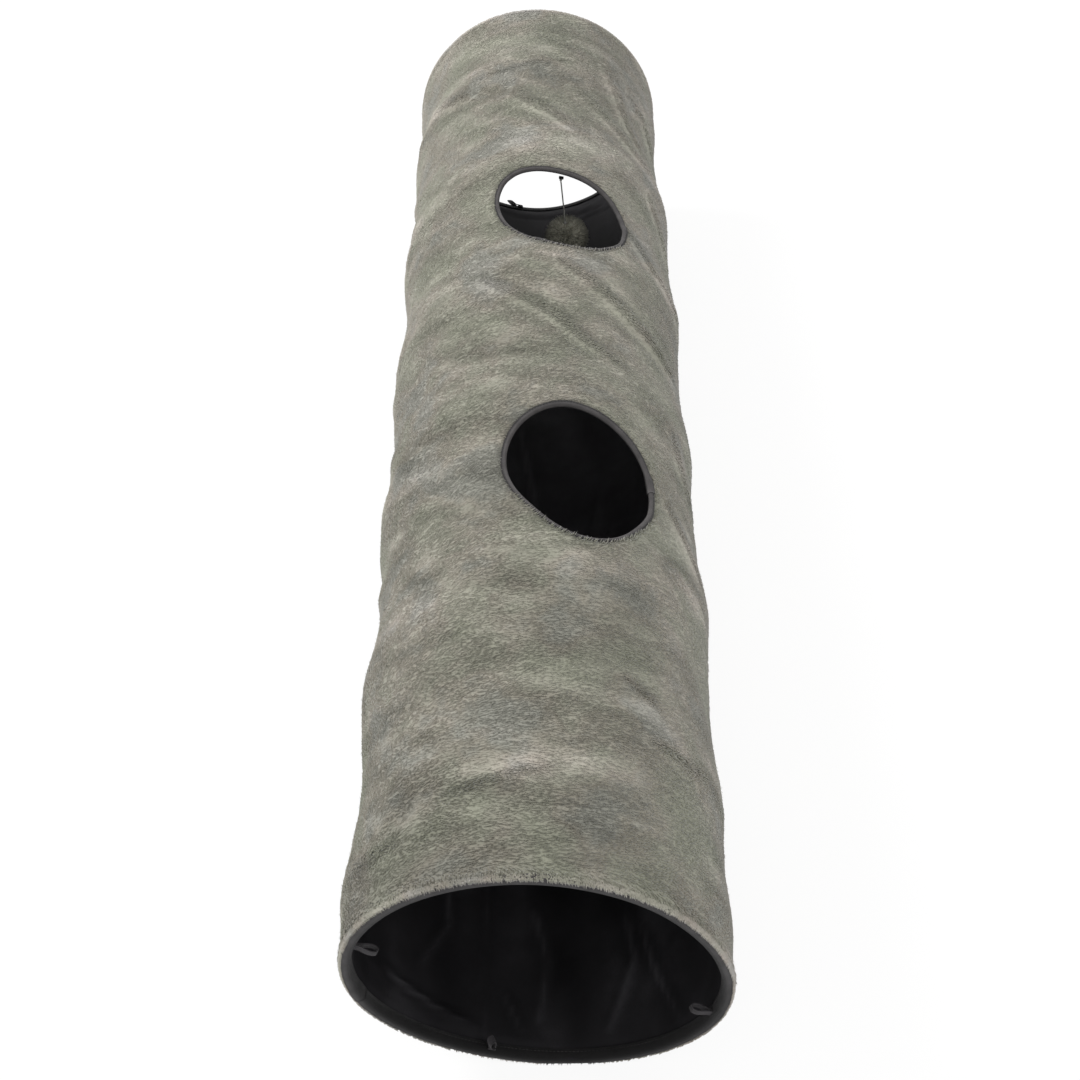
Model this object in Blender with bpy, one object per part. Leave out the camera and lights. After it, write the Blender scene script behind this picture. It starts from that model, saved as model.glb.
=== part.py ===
"""A collapsible plush tunnel for cats, lying on the floor as it is used.

One spring-steel wire runs from an end ring through a helix to the other end ring, between an
outer tube of plush and an inner lining. Bound mouths, two bound peek holes, six tape loops and a
pom-pom on an elastic cord complete it.

Frame: metres, +Y along the tunnel from the near mouth to the far one, +Z up, with the origin on
the floor under the middle. Below, "along" is the distance from the near mouth, and an angle is
measured round the tunnel's axis from +X towards +Z.
"""

import math

import bmesh
import bpy
import numpy as np
from mathutils import Matrix, Vector

# Overall sizes
TUNNEL_LENGTH = 1.200
TUNNEL_DIAMETER = 0.300
TURNS = 6
FACETS = 30

# Cloth layers
PLUSH_THICKNESS = 0.0050
PLUSH_HEM_THICKNESS = 0.0017
LINING_THICKNESS = 0.0008
PLUSH_SAG = 0.0070
MID_BAY_CLEARANCE = 0.0006
CLEARANCE = 0.0003
SAG_STARTS = 0.030
SAG_FULL = 0.090

# Spring wire, its casing tape and its end caps
WIRE_DIAMETER = 0.0020
RING_EASE = 0.015
WIRE_END_SPACING = 0.0040
TAPE_WIDTH = 0.008
TAPE_THICKNESS = 0.0006
CAP_WALL = 0.0005
CAP_CLEARANCE = 0.0005
CAP_LENGTH = 0.012
CAP_END_THICKNESS = 0.0010
CAP_SIDES = 8

# Edge bindings
BINDING_THICKNESS = 0.0010
RIM_LEG = 0.0090
HOLE_LEG = 0.0080
HOLE_LEG_DEPTH = 0.0006
HOLE_LEG_CLEARANCE = 0.0008
HOLE_WEB_CLEARANCE = 0.0006

# Peek holes: how far round to the right of the top each lies, its width across the tilted long axis,
# how much shorter it is than the bay between two turns of the wire allows, and the tilt of that axis
HOLE_LAND = 0.0035
NEAR_HOLE_RIGHT = 0.0555
NEAR_HOLE_WIDTH = 0.1340
NEAR_HOLE_TRIM = 0.0060
NEAR_HOLE_TILT = math.radians(16.5)
FAR_HOLE_RIGHT = 0.0430
FAR_HOLE_WIDTH = 0.1190
FAR_HOLE_TRIM = 0.0150
FAR_HOLE_TILT = math.radians(46.0)
HOLE_POINTS = 36

# Tape loops
LOOP_ANGLES = {
    "left": math.radians(157.0),
    "bottom": math.radians(-112.0),
    "right": math.radians(-27.0),
}
FAR_LOOP_TURN = math.radians(6.5)
LOOP_LENGTH = 0.018
LOOP_WIDTH = 0.008
LOOP_TAPE = 0.0010
LOOP_ROOT = 0.005
LOOP_GAP = 0.0030
LOOP_SETBACK = 0.0045

# Hanging toy
TAB_WIDTH = 0.0050
TAB_DEPTH = 0.0030
TAB_HEIGHT = 0.0020
TAB_CLEARANCE = 0.0004
KNOT_RADIUS = 0.0015
CORD_DIAMETER = 0.0015
CORD_LENGTH = 0.0520
CORD_POINTS = 14
POMPOM_RADIUS = 0.0250
POMPOM_DENT = 0.0080
POMPOM_LUMP = 0.0008
POMPOM_KNOT_RADIUS = 0.0020
KNOT_SIDES = 10
POMPOM_SIDES = 20

# How far a cutter runs past what it cuts
OVERRUN = 0.0100

# The middle of each peek hole, in pitches past the wire's first crossing of its line
NEAR_HOLE_SHARE = 1.52
FAR_HOLE_SHARE = 3.4625
# Shares of a bay, from one turn of the wire to the next, at which the cloth has a row of points
PLUSH_ROW_SHARES = (0.0, 0.10, 0.30, 0.70, 0.90)
LINING_ROW_SHARES = (0.0, 0.30, 0.70)
# The cloth hangs straight where the sine of its angle is under the first, and sags fully over the second
SAG_SINE_SHARES = (-0.95, -0.20)
# Across and along a loop's length, the half gap between its two layers of tape
LOOP_GAP_SHARES = ((0.0, 0.0), (0.20, 0.25), (0.45, 0.75), (0.70, 1.0), (0.88, 0.75), (1.0, 0.0))
# A rounded corner of the tape, as a share of its thickness
CORNER_SHARE = 0.7
# How the pom-pom's swellings wind round it and up it
LUMP_SHARES = (5, 12, 3, 7)
DENT_SPREAD = math.radians(22.0)

# Worked out from the sizes above
PITCH = TUNNEL_LENGTH / TURNS
OUTER_RADIUS = TUNNEL_DIAMETER / 2
AXIS_HEIGHT = OUTER_RADIUS * math.cos(math.pi / FACETS)
BACKING_RADIUS = OUTER_RADIUS - PLUSH_THICKNESS
CAP_RADIUS = WIRE_DIAMETER / 2 + CLEARANCE + CAP_WALL
WIRE_RADIUS = BACKING_RADIUS - CAP_CLEARANCE - CAP_RADIUS
LINING_RADIUS = WIRE_RADIUS - CAP_RADIUS - CAP_CLEARANCE
LINING_SAG = PLUSH_SAG - (BACKING_RADIUS - LINING_RADIUS) + MID_BAY_CLEARANCE
LINING_INSIDE = LINING_RADIUS - LINING_THICKNESS
HEM_RADIUS = BACKING_RADIUS + PLUSH_HEM_THICKNESS
WALL_SETBACK = BINDING_THICKNESS + CLEARANCE
HEM_LENGTH = RIM_LEG + CLEARANCE
RING_SETBACK = WALL_SETBACK + CAP_RADIUS
BINDING_INSIDE = LINING_INSIDE - CLEARANCE - BINDING_THICKNESS
TOP = math.pi / 2
BOTTOM = -math.pi / 2
FACET_ANGLE = 2 * math.pi / FACETS
HELIX_START = BOTTOM - FACET_ANGLE
HOLE_TO_WIRE = HOLE_LEG + TAPE_WIDTH / 2 + HOLE_LAND


def clear_scene():
    """Removes whatever the file holds."""
    for obj in list(bpy.data.objects):
        bpy.data.objects.remove(obj, do_unlink=True)


def make_material(name, colour, roughness, metallic=0.0):
    """A plain Principled material."""
    material = bpy.data.materials.new(name)
    material.use_nodes = True
    shader = material.node_tree.nodes["Principled BSDF"]
    shader.inputs["Base Color"].default_value = (*colour, 1.0)
    shader.inputs["Roughness"].default_value = roughness
    shader.inputs["Metallic"].default_value = metallic
    return material


def add_object(name, bm, material, origin=None, smooth_angle=math.radians(40.0)):
    """Makes one named object of a closed mesh, with its origin at a joint's axis if one is given."""
    bmesh.ops.recalc_face_normals(bm, faces=bm.faces)
    if origin is not None:
        bmesh.ops.translate(bm, verts=bm.verts, vec=-origin)
    mesh = bpy.data.meshes.new(name)
    bm.to_mesh(mesh)
    bm.free()
    mesh.materials.append(material)
    mesh.shade_smooth()
    mesh.set_sharp_from_angle(angle=smooth_angle)
    obj = bpy.data.objects.new(name, mesh)
    bpy.context.scene.collection.objects.link(obj)
    if origin is not None:
        obj.location = origin
    return obj


def smoothstep(low, high, value):
    """0 at low, 1 at high, and a smooth curve between."""
    t = min(1.0, max(0.0, (value - low) / (high - low)))
    return t * t * (3 - 2 * t)


def at(radius, angle, along):
    """The point at that radius, angle and distance from the near mouth."""
    height = AXIS_HEIGHT + radius * math.sin(angle)
    return Vector((radius * math.cos(angle), along - TUNNEL_LENGTH / 2, height))


def step_angle(step):
    """Angle of a column of points. Steps run clockwise seen from the near mouth, as the wire winds."""
    return BOTTOM - (step + 0.5) * FACET_ANGLE


def helix_along(step):
    """Where the wire's plain helix is at that step."""
    return PITCH * (HELIX_START - step_angle(step)) / (2 * math.pi)


def wire_along(step):
    """The same, eased into the flat rings at the mouths."""
    low, high = RING_SETBACK, TUNNEL_LENGTH - RING_SETBACK
    along = low + RING_EASE * math.log1p(math.exp((helix_along(step) - low) / RING_EASE))
    if helix_along(step) > TUNNEL_LENGTH / 2:
        along = high - RING_EASE * math.log1p(math.exp((high - helix_along(step)) / RING_EASE))
    return along


def wire_steps():
    """First and last step of the wire. An end ring closes where the helix has left it by the end spacing."""
    leaves = RING_SETBACK + RING_EASE * math.log(math.expm1(WIRE_END_SPACING / RING_EASE))
    starts = (BOTTOM - HELIX_START) / FACET_ANGLE - 0.5
    first = math.ceil(starts + leaves / PITCH * FACETS) - FACETS
    last = math.floor(starts + (TUNNEL_LENGTH - leaves) / PITCH * FACETS) + FACETS
    return first, last


def wall_drop(share, rows):
    """How far the cloth has sagged between two turns, as a share: 0 on the wire and 1 in mid-bay."""
    ends = [*rows, 1.0]
    for low, high in zip(ends, ends[1:]):
        if share <= high:
            break
    full = [1 - (1 - 2 * min(x, 1 - x)) ** 2 for x in (low, high)]
    return full[0] + (full[1] - full[0]) * (share - low) / (high - low)


def column_radius(step, along, radius, sag, rows):
    """Radius of a cloth surface on one column of its points."""
    share = ((along - helix_along(step)) / PITCH) % 1.0
    held = smoothstep(SAG_STARTS, SAG_FULL, min(along, TUNNEL_LENGTH - along))
    round_share = smoothstep(*SAG_SINE_SHARES, math.sin(step_angle(step)))
    return radius - sag * held * round_share * wall_drop(share, rows)


def surface_radius(angle, along, radius, sag, rows):
    """Radius of a cloth surface at any angle, on the facet between two columns of its points."""
    place = (BOTTOM - angle) / FACET_ANGLE - 0.5
    step = math.floor(place)
    turn = (place - step - 0.5) * FACET_ANGLE
    across = 0.5 + 0.5 * math.tan(turn) / math.tan(FACET_ANGLE / 2)
    rise = PITCH / FACETS
    first = column_radius(step, along - across * rise, radius, sag, rows)
    second = column_radius(step + 1, along + (1 - across) * rise, radius, sag, rows)
    return (first + (second - first) * across) * math.cos(FACET_ANGLE / 2) / math.cos(turn)


def plush_outside(angle, along):
    """Radius of the plush's outer surface."""
    return surface_radius(angle, along, OUTER_RADIUS, PLUSH_SAG, PLUSH_ROW_SHARES)


def lining_inside(angle, along):
    """Radius of the lining's inner surface."""
    return surface_radius(angle, along, LINING_INSIDE, LINING_SAG, LINING_ROW_SHARES)


def add_ring(bm, radius, along):
    """A ring of points, one on each column."""
    return [bm.verts.new(at(radius, step_angle(step), along)) for step in range(FACETS)]


def cloth_sheet(bm, radius, sag, rows, setback):
    """One surface of a cloth tube, with rows of points that wind with the wire. Returns its two end rings."""
    low, high = setback, TUNNEL_LENGTH - setback
    mouths = [add_ring(bm, radius, end) for end in (low, high)]
    first, last = -FACETS, (TURNS + 2) * FACETS
    points = {}
    for step in range(first, last + 1):
        for row, share in enumerate(rows):
            along = helix_along(step) + share * PITCH
            # A row that would pass a mouth stays on it, so that the mouth is square.
            if along < low + CLEARANCE:
                points[step, row] = mouths[0][step % FACETS]
            elif along > high - CLEARANCE:
                points[step, row] = mouths[1][step % FACETS]
            else:
                inside = column_radius(step, along, radius, sag, rows)
                points[step, row] = bm.verts.new(at(inside, step_angle(step), along))
    for step in range(first, last):
        for row in range(len(rows)):
            turn, above = divmod(row + 1, len(rows))
            next_step = step + turn * FACETS
            corners = [(step, row), (step + 1, row), (next_step + 1, above), (next_step, above)]
            if not all(corner in points for corner in corners):
                continue
            face = list(dict.fromkeys(points[corner] for corner in corners))
            if len(face) > 2:
                bm.faces.new(face)
    return mouths


def skin_between(bm, ring, after):
    """A band of faces between two closed rings of as many points each."""
    for i in range(len(ring)):
        j = (i + 1) % len(ring)
        bm.faces.new([ring[i], ring[j], after[j], after[i]])


def closed_rings(bm, rings):
    """Skins closed rings of as many points each, the last ring joined to the first."""
    rings = [[bm.verts.new(p) for p in ring] for ring in rings]
    for ring, after in zip(rings, [*rings[1:], rings[0]]):
        skin_between(bm, ring, after)


def capped_rings(bm, rings, first_centre=None, last_centre=None):
    """Skins rings in order and closes both ends, as a fan to a centre point or as one face."""
    rings = [[bm.verts.new(p) for p in ring] for ring in rings]
    for ring, after in zip(rings, rings[1:]):
        skin_between(bm, ring, after)
    for ring, centre in ((rings[0], first_centre), (rings[-1], last_centre)):
        if centre is None:
            bm.faces.new(ring)
            continue
        middle = bm.verts.new(centre)
        for i in range(len(ring)):
            bm.faces.new([ring[i], ring[(i + 1) % len(ring)], middle])


class PeekHole:
    """An oval hole in the roof of the tunnel, laid out on the unrolled cloth."""

    def __init__(self, right, pitch_share, width, trim, tilt):
        self.angle = TOP - right / OUTER_RADIUS
        self.along = PITCH * ((HELIX_START - self.angle) / (2 * math.pi) % 1.0 + pitch_share)
        self.half_length = (PITCH - trim) / 2 - HOLE_TO_WIRE
        self.half_width = width / 2
        self.major = Vector((-math.sin(tilt), math.cos(tilt)))
        self.minor = Vector((math.cos(tilt), math.sin(tilt)))

    def edge(self, turn, out):
        """Angle and distance along of the hole's edge at that turn round it, moved outwards by out."""
        c, s = math.cos(turn), math.sin(turn)
        normal = (self.major * self.half_width * c + self.minor * self.half_length * s).normalized()
        spot = self.major * self.half_length * c + self.minor * self.half_width * s + normal * out
        return self.angle - spot.x / OUTER_RADIUS, self.along + spot.y

    def back_turn(self):
        """The turn at which the edge is straight behind the hole's middle."""
        return math.atan2(self.half_length * -self.major.x, self.half_width * self.minor.x)

    def ring(self, out, surface, raised):
        """A ring of points round the hole, raised from a cloth surface along the radius."""
        points = []
        for i in range(HOLE_POINTS):
            angle, along = self.edge(2 * math.pi * i / HOLE_POINTS, out)
            points.append(at(surface(angle, along) + raised, angle, along))
        return points

    def cutter(self, name, rebate):
        """Cuts the hole, and with a rebate the seat of the binding's outer leg as well."""
        cut = BINDING_THICKNESS + HOLE_WEB_CLEARANCE
        reach, seat = cut, 0.0
        if rebate:
            reach = HOLE_LEG + HOLE_LEG_CLEARANCE
            seat = HOLE_LEG_DEPTH + BINDING_THICKNESS + HOLE_LEG_CLEARANCE
        rings = [
            self.ring(cut, lining_inside, -OVERRUN),
            self.ring(cut, lining_inside, -CLEARANCE),
            self.ring(cut, plush_outside, -seat),
            self.ring(reach, plush_outside, OVERRUN),
        ]
        if rebate:
            rings.insert(-1, self.ring(reach, plush_outside, -seat))
        bm = bmesh.new()
        below = sum(rings[0], Vector()) / HOLE_POINTS
        above = at(OUTER_RADIUS + OVERRUN, self.angle, self.along)
        capped_rings(bm, rings, below, above)
        obj = add_object(name, bm, None)
        obj.hide_render = True
        obj.display_type = "WIRE"
        return obj

    def binding(self, name, material):
        """Tape folded over the hole's edge: a web that faces the hole, and a leg on each side of the wall."""
        leg_out = -HOLE_LEG_DEPTH
        leg_in = -HOLE_LEG_CLEARANCE
        section = [
            (0, plush_outside, leg_out),
            (HOLE_LEG, plush_outside, leg_out),
            (HOLE_LEG, plush_outside, leg_out - BINDING_THICKNESS),
            (BINDING_THICKNESS, plush_outside, leg_out - BINDING_THICKNESS),
            (BINDING_THICKNESS, lining_inside, leg_in),
            (HOLE_LEG, lining_inside, leg_in),
            (HOLE_LEG, lining_inside, leg_in - BINDING_THICKNESS),
            (0, lining_inside, leg_in - BINDING_THICKNESS),
        ]
        bm = bmesh.new()
        closed_rings(bm, [self.ring(*spot) for spot in section])
        return add_object(name, bm, material)


def subtract(obj, cutter):
    """Cuts one object out of another."""
    modifier = obj.modifiers.new(f"cut by {cutter.name}", "BOOLEAN")
    modifier.operation = "DIFFERENCE"
    modifier.solver = "EXACT"
    modifier.object = cutter


def make_plush_cover(material, holes):
    """The outer tube, thinned at each mouth where the binding presses the pile flat."""
    bm = bmesh.new()
    outside = cloth_sheet(bm, OUTER_RADIUS, PLUSH_SAG, PLUSH_ROW_SHARES, HEM_LENGTH)
    inside = cloth_sheet(bm, BACKING_RADIUS, PLUSH_SAG, PLUSH_ROW_SHARES, WALL_SETBACK)
    hem_starts = (HEM_LENGTH, TUNNEL_LENGTH - HEM_LENGTH)
    hem_ends = (WALL_SETBACK, TUNNEL_LENGTH - WALL_SETBACK)
    for outer, inner, start, end in zip(outside, inside, hem_starts, hem_ends):
        rings = [outer, add_ring(bm, HEM_RADIUS, start), add_ring(bm, HEM_RADIUS, end), inner]
        for ring, after in zip(rings, rings[1:]):
            skin_between(bm, ring, after)
    cover = add_object("plush_cover", bm, material, smooth_angle=math.radians(50.0))
    for name, hole in holes.items():
        subtract(cover, hole.cutter(f"{name}_plush_cutter", rebate=True))
    return cover


def make_lining(material, holes):
    """The inner tube."""
    bm = bmesh.new()
    outside = cloth_sheet(bm, LINING_RADIUS, LINING_SAG, LINING_ROW_SHARES, WALL_SETBACK)
    inside = cloth_sheet(bm, LINING_INSIDE, LINING_SAG, LINING_ROW_SHARES, WALL_SETBACK)
    for outer, inner in zip(outside, inside):
        skin_between(bm, outer, inner)
    lining = add_object("lining", bm, material)
    for name, hole in holes.items():
        subtract(lining, hole.cutter(f"{name}_lining_cutter", rebate=False))
    return lining


def make_tube(name, points, diameter, resolution, material):
    """A round tube along a line of points, with flat ends."""
    curve = bpy.data.curves.new(name, "CURVE")
    curve.dimensions = "3D"
    curve.bevel_depth = diameter / 2
    curve.bevel_resolution = resolution
    curve.use_fill_caps = True
    spline = curve.splines.new("POLY")
    spline.points.add(len(points) - 1)
    for spot, point in zip(spline.points, points):
        spot.co = (*point, 1.0)
    curve.materials.append(material)
    obj = bpy.data.objects.new(name, curve)
    bpy.context.scene.collection.objects.link(obj)
    return obj


def make_spring_wire(material):
    """The whole wire: a flat ring, the helix and the other flat ring."""
    first, last = wire_steps()
    points = [at(WIRE_RADIUS, step_angle(step), wire_along(step)) for step in range(first, last + 1)]
    print(f"Least gap of the spring wire to itself: {least_gap(points, WIRE_DIAMETER) * 1000:.2f} mm")
    return make_tube("spring_wire", points, WIRE_DIAMETER, 1, material)


def least_gap(points, diameter):
    """Least gap of a tube to itself, between any two of its points that are half a turn or more apart."""
    places = np.array(points)
    gaps = [
        np.linalg.norm(places[i + FACETS // 2 :] - place, axis=1).min()
        for i, place in enumerate(places[: -FACETS // 2])
    ]
    return min(gaps) - diameter


def make_casing_tape(material):
    """The tape that closes the wire's channel on the lining side, wherever it clears the end rings."""
    first, last = wire_steps()
    outside = WIRE_RADIUS - WIRE_DIAMETER / 2 - CLEARANCE
    edge = RING_SETBACK + CAP_RADIUS + CLEARANCE + TAPE_WIDTH / 2
    rings = []
    for step in range(first, last + 1):
        along = wire_along(step)
        if not edge <= along <= TUNNEL_LENGTH - edge:
            continue
        corners = [(outside, -1), (outside, 1), (outside - TAPE_THICKNESS, 1), (outside - TAPE_THICKNESS, -1)]
        rings.append([at(r, step_angle(step), along + side * TAPE_WIDTH / 2) for r, side in corners])
    bm = bmesh.new()
    capped_rings(bm, rings)
    return add_object("wire_casing_tape", bm, material)


def make_wire_cap(name, end, inward, material):
    """A plastic cup on one end of the wire, so that the cut end can't pierce the cloth."""
    axis = (end - inward).normalized()
    side = axis.cross(Vector((0, 1, 0))).normalized()
    up = axis.cross(side)
    bore = WIRE_DIAMETER / 2 + CLEARANCE

    def circle(radius, out):
        turns = [2 * math.pi * i / CAP_SIDES for i in range(CAP_SIDES)]
        return [end + axis * out + (side * math.cos(t) + up * math.sin(t)) * radius for t in turns]

    tip = CLEARANCE + CAP_END_THICKNESS
    rings = [
        circle(bore, CLEARANCE),
        circle(bore, tip - CAP_LENGTH),
        circle(CAP_RADIUS, tip - CAP_LENGTH),
        circle(CAP_RADIUS, tip),
    ]
    bm = bmesh.new()
    capped_rings(bm, rings)
    return add_object(name, bm, material)


def make_rim_binding(name, mouth, inwards, material):
    """Tape folded over a mouth's edge, round the end ring of the wire. inwards is 1 or -1 along +Y."""
    outside = HEM_RADIUS + CLEARANCE + BINDING_THICKNESS
    section = [
        (outside, 0),
        (outside, RIM_LEG),
        (outside - BINDING_THICKNESS, RIM_LEG),
        (outside - BINDING_THICKNESS, BINDING_THICKNESS),
        (BINDING_INSIDE + BINDING_THICKNESS, BINDING_THICKNESS),
        (BINDING_INSIDE + BINDING_THICKNESS, RIM_LEG),
        (BINDING_INSIDE, RIM_LEG),
        (BINDING_INSIDE, 0),
    ]
    bm = bmesh.new()
    steps = range(FACETS)
    closed_rings(bm, [[at(r, step_angle(i), mouth + inwards * depth) for i in steps] for r, depth in section])
    return add_object(name, bm, material)


def loop_outlines():
    """Outer and inner outline of a folded loop, as (in from its hinge, to the side of its middle)."""
    free = LOOP_LENGTH - LOOP_ROOT - LOOP_TAPE
    inner = [(LOOP_ROOT + share * free, gap * LOOP_GAP / 2) for share, gap in LOOP_GAP_SHARES]
    corner = CORNER_SHARE * LOOP_TAPE
    tip = inner[-1][0]
    outer = [(-corner, corner), *[(depth, side + LOOP_TAPE) for depth, side in inner[:-1]]]
    outer += [(tip + corner, corner), (tip + LOOP_TAPE, 0)]
    return [half + [(depth, -side) for depth, side in reversed(half) if side] for half in (outer, inner)]


def make_tape_loop(name, angle, mouth, inwards, material):
    """A length of tape folded in half and sewn inside a mouth, pointing at the tunnel's axis."""
    hinge_radius = BINDING_INSIDE * math.cos(FACET_ANGLE / 2) - CLEARANCE - LOOP_TAPE
    hinge = at(hinge_radius, angle, mouth + inwards * LOOP_SETBACK)
    inward = (at(0, 0, mouth + inwards * LOOP_SETBACK) - hinge).normalized()
    along = Vector((0, 1, 0))
    edge = along.cross(inward) * LOOP_WIDTH / 2
    bm = bmesh.new()
    faces = ([], [])
    for outline in loop_outlines():
        middle = [hinge + inward * depth + along * side for depth, side in outline]
        rings = [[bm.verts.new(point + shift) for point in middle] for shift in (-edge, edge)]
        skin_between(bm, *rings)
        for face, ring in zip(faces, rings):
            face += [bm.edges.get((ring[i - 1], ring[i])) for i in range(len(ring))]
    for face in faces:
        bmesh.ops.triangle_fill(bm, use_beauty=True, use_dissolve=False, edges=face)
    return add_object(name, bm, material, origin=hinge)


def lathe(bm, centre, profile, sides, lump_share=0.0):
    """Turns (radius, height) points round a vertical line through centre, swollen in places by a share."""
    round_one, up_one, round_two, up_two = LUMP_SHARES
    rings = []
    for radius, height in profile[1:-1]:
        level = height / profile[0][1]
        ring = []
        for i in range(sides):
            turn = 2 * math.pi * i / sides
            wave = math.sin(round_one * turn + up_one * level) * math.sin(round_two * turn + up_two * level)
            reach = radius * (1 + lump_share * wave)
            ring.append(centre + Vector((reach * math.cos(turn), reach * math.sin(turn), height)))
        rings.append(ring)
    poles = [centre + Vector((0, 0, profile[end][1])) for end in (0, -1)]
    capped_rings(bm, rings, *poles)


def half_round(count):
    """Angles from the top pole to the bottom one."""
    return [math.pi * i / count for i in range(count + 1)]


def make_knot(name, centre, radius, material):
    """A small round knot of the cord."""
    bm = bmesh.new()
    profile = [(radius * math.sin(polar), radius * math.cos(polar)) for polar in half_round(KNOT_SIDES // 2)]
    lathe(bm, centre, profile, KNOT_SIDES)
    return add_object(name, bm, material, origin=centre)


def make_tab(top, outward, material):
    """The folded scrap of tape, sewn under the hole's binding, that the cord is knotted through."""
    bm = bmesh.new()
    bmesh.ops.create_cube(bm, size=1.0)
    bmesh.ops.scale(bm, vec=(TAB_WIDTH, TAB_DEPTH, TAB_HEIGHT), verts=bm.verts)
    along = Vector((0, 1, 0))
    turn = Matrix((outward.cross(along), along, outward)).transposed().to_4x4()
    place = Matrix.Translation(top - outward * TAB_HEIGHT / 2)
    bmesh.ops.transform(bm, matrix=place @ turn, verts=bm.verts)
    return add_object("cord_tab", bm, material)


def make_pompom(centre, material):
    """A ball of yarn, lumpy, and drawn in on top where it is tied."""
    profile = []
    for polar in half_round(POMPOM_SIDES * 3 // 5):
        radius = POMPOM_RADIUS - POMPOM_DENT * math.exp(-((polar / DENT_SPREAD) ** 2))
        profile.append((radius * math.sin(polar), radius * math.cos(polar)))
    bm = bmesh.new()
    lathe(bm, centre, profile, POMPOM_SIDES, lump_share=POMPOM_LUMP / POMPOM_RADIUS)
    return add_object("pompom", bm, material, origin=centre, smooth_angle=math.pi)


def make_hanging_toy(hole, tape, cord, fluff):
    """The pom-pom under the back edge of a hole, with its cord, its knots and the tab that carries it."""
    angle, along = hole.edge(hole.back_turn(), HOLE_LEG / 2)
    outward = (at(OUTER_RADIUS, angle, along) - at(0, 0, along)).normalized()
    tab_radius = lining_inside(angle, along) - HOLE_LEG_CLEARANCE - BINDING_THICKNESS - TAB_CLEARANCE
    top = at(tab_radius, angle, along)
    make_tab(top, outward, tape)
    pivot = top - outward * (TAB_HEIGHT + CLEARANCE + KNOT_RADIUS)
    make_knot("cord_knot", pivot, KNOT_RADIUS, cord)
    start = pivot - Vector((0, 0, KNOT_RADIUS + CLEARANCE))
    line = [start - Vector((0, 0, CORD_LENGTH * i / (CORD_POINTS - 1))) for i in range(CORD_POINTS)]
    make_tube("elastic_cord", line, CORD_DIAMETER, 2, cord)
    tie = line[-1] - Vector((0, 0, CLEARANCE + POMPOM_KNOT_RADIUS))
    make_knot("pompom_knot", tie, POMPOM_KNOT_RADIUS, cord)
    seat = POMPOM_RADIUS - POMPOM_DENT
    make_pompom(tie - Vector((0, 0, POMPOM_KNOT_RADIUS + CLEARANCE + seat)), fluff)


def main():
    clear_scene()
    plush = make_material("plush", (0.31, 0.30, 0.26), 0.95)
    lining = make_material("lining", (0.012, 0.012, 0.013), 0.75)
    tape = make_material("binding_tape", (0.075, 0.070, 0.072), 0.80)
    steel = make_material("spring_steel", (0.45, 0.45, 0.46), 0.35, 1.0)
    vinyl = make_material("vinyl_cap", (0.03, 0.03, 0.03), 0.45)
    cord = make_material("elastic_cord", (0.30, 0.30, 0.29), 0.80)
    fluff = make_material("pompom_fluff", (0.17, 0.17, 0.14), 0.95)

    near_hole = PeekHole(NEAR_HOLE_RIGHT, NEAR_HOLE_SHARE, NEAR_HOLE_WIDTH, NEAR_HOLE_TRIM, NEAR_HOLE_TILT)
    far_hole = PeekHole(FAR_HOLE_RIGHT, FAR_HOLE_SHARE, FAR_HOLE_WIDTH, FAR_HOLE_TRIM, FAR_HOLE_TILT)
    holes = {"near_hole": near_hole, "far_hole": far_hole}

    make_plush_cover(plush, holes)
    make_lining(lining, holes)
    for name, hole in holes.items():
        hole.binding(f"{name}_binding", tape)

    make_spring_wire(steel)
    make_casing_tape(lining)
    first, last = wire_steps()
    for name, end, inner in (("near", first, first + 1), ("far", last, last - 1)):
        tip, inward = [at(WIRE_RADIUS, step_angle(step), wire_along(step)) for step in (end, inner)]
        make_wire_cap(f"{name}_wire_cap", tip, inward, vinyl)

    for name, mouth, inwards, turn in (("near", 0, 1, 0), ("far", TUNNEL_LENGTH, -1, FAR_LOOP_TURN)):
        make_rim_binding(f"{name}_rim_binding", mouth, inwards, tape)
        for side, angle in LOOP_ANGLES.items():
            make_tape_loop(f"{name}_loop_{side}", angle + turn, mouth, inwards, tape)

    make_hanging_toy(far_hole, tape, cord, fluff)


main()
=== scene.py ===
"""Looks of a collapsible plush tunnel for cats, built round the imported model.

Metres, +Y along the tunnel from the near mouth, +Z up. "along" is the distance from the near mouth,
and an angle is measured round the tunnel's axis from +X towards +Z.
"""

import math

import bpy
import numpy as np
from mathutils import Matrix, Vector


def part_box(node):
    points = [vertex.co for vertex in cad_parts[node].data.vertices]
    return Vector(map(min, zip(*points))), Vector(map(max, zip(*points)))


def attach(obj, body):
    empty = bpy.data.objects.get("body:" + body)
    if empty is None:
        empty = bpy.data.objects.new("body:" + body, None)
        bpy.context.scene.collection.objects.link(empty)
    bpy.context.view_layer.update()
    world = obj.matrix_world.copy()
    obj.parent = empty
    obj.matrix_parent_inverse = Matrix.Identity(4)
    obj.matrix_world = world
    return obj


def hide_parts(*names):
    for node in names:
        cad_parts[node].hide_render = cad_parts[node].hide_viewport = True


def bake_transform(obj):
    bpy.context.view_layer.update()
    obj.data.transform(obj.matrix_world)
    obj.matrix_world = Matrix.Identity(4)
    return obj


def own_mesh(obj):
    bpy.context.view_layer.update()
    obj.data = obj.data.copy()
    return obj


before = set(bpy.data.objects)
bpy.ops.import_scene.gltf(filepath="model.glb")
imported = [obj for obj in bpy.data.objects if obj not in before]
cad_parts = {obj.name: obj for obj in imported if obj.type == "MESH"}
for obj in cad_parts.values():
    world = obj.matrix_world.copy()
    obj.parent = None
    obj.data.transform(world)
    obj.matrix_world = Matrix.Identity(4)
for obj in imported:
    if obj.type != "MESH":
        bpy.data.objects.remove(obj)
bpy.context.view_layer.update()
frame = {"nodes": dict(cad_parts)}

TAU = 2 * math.pi
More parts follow.
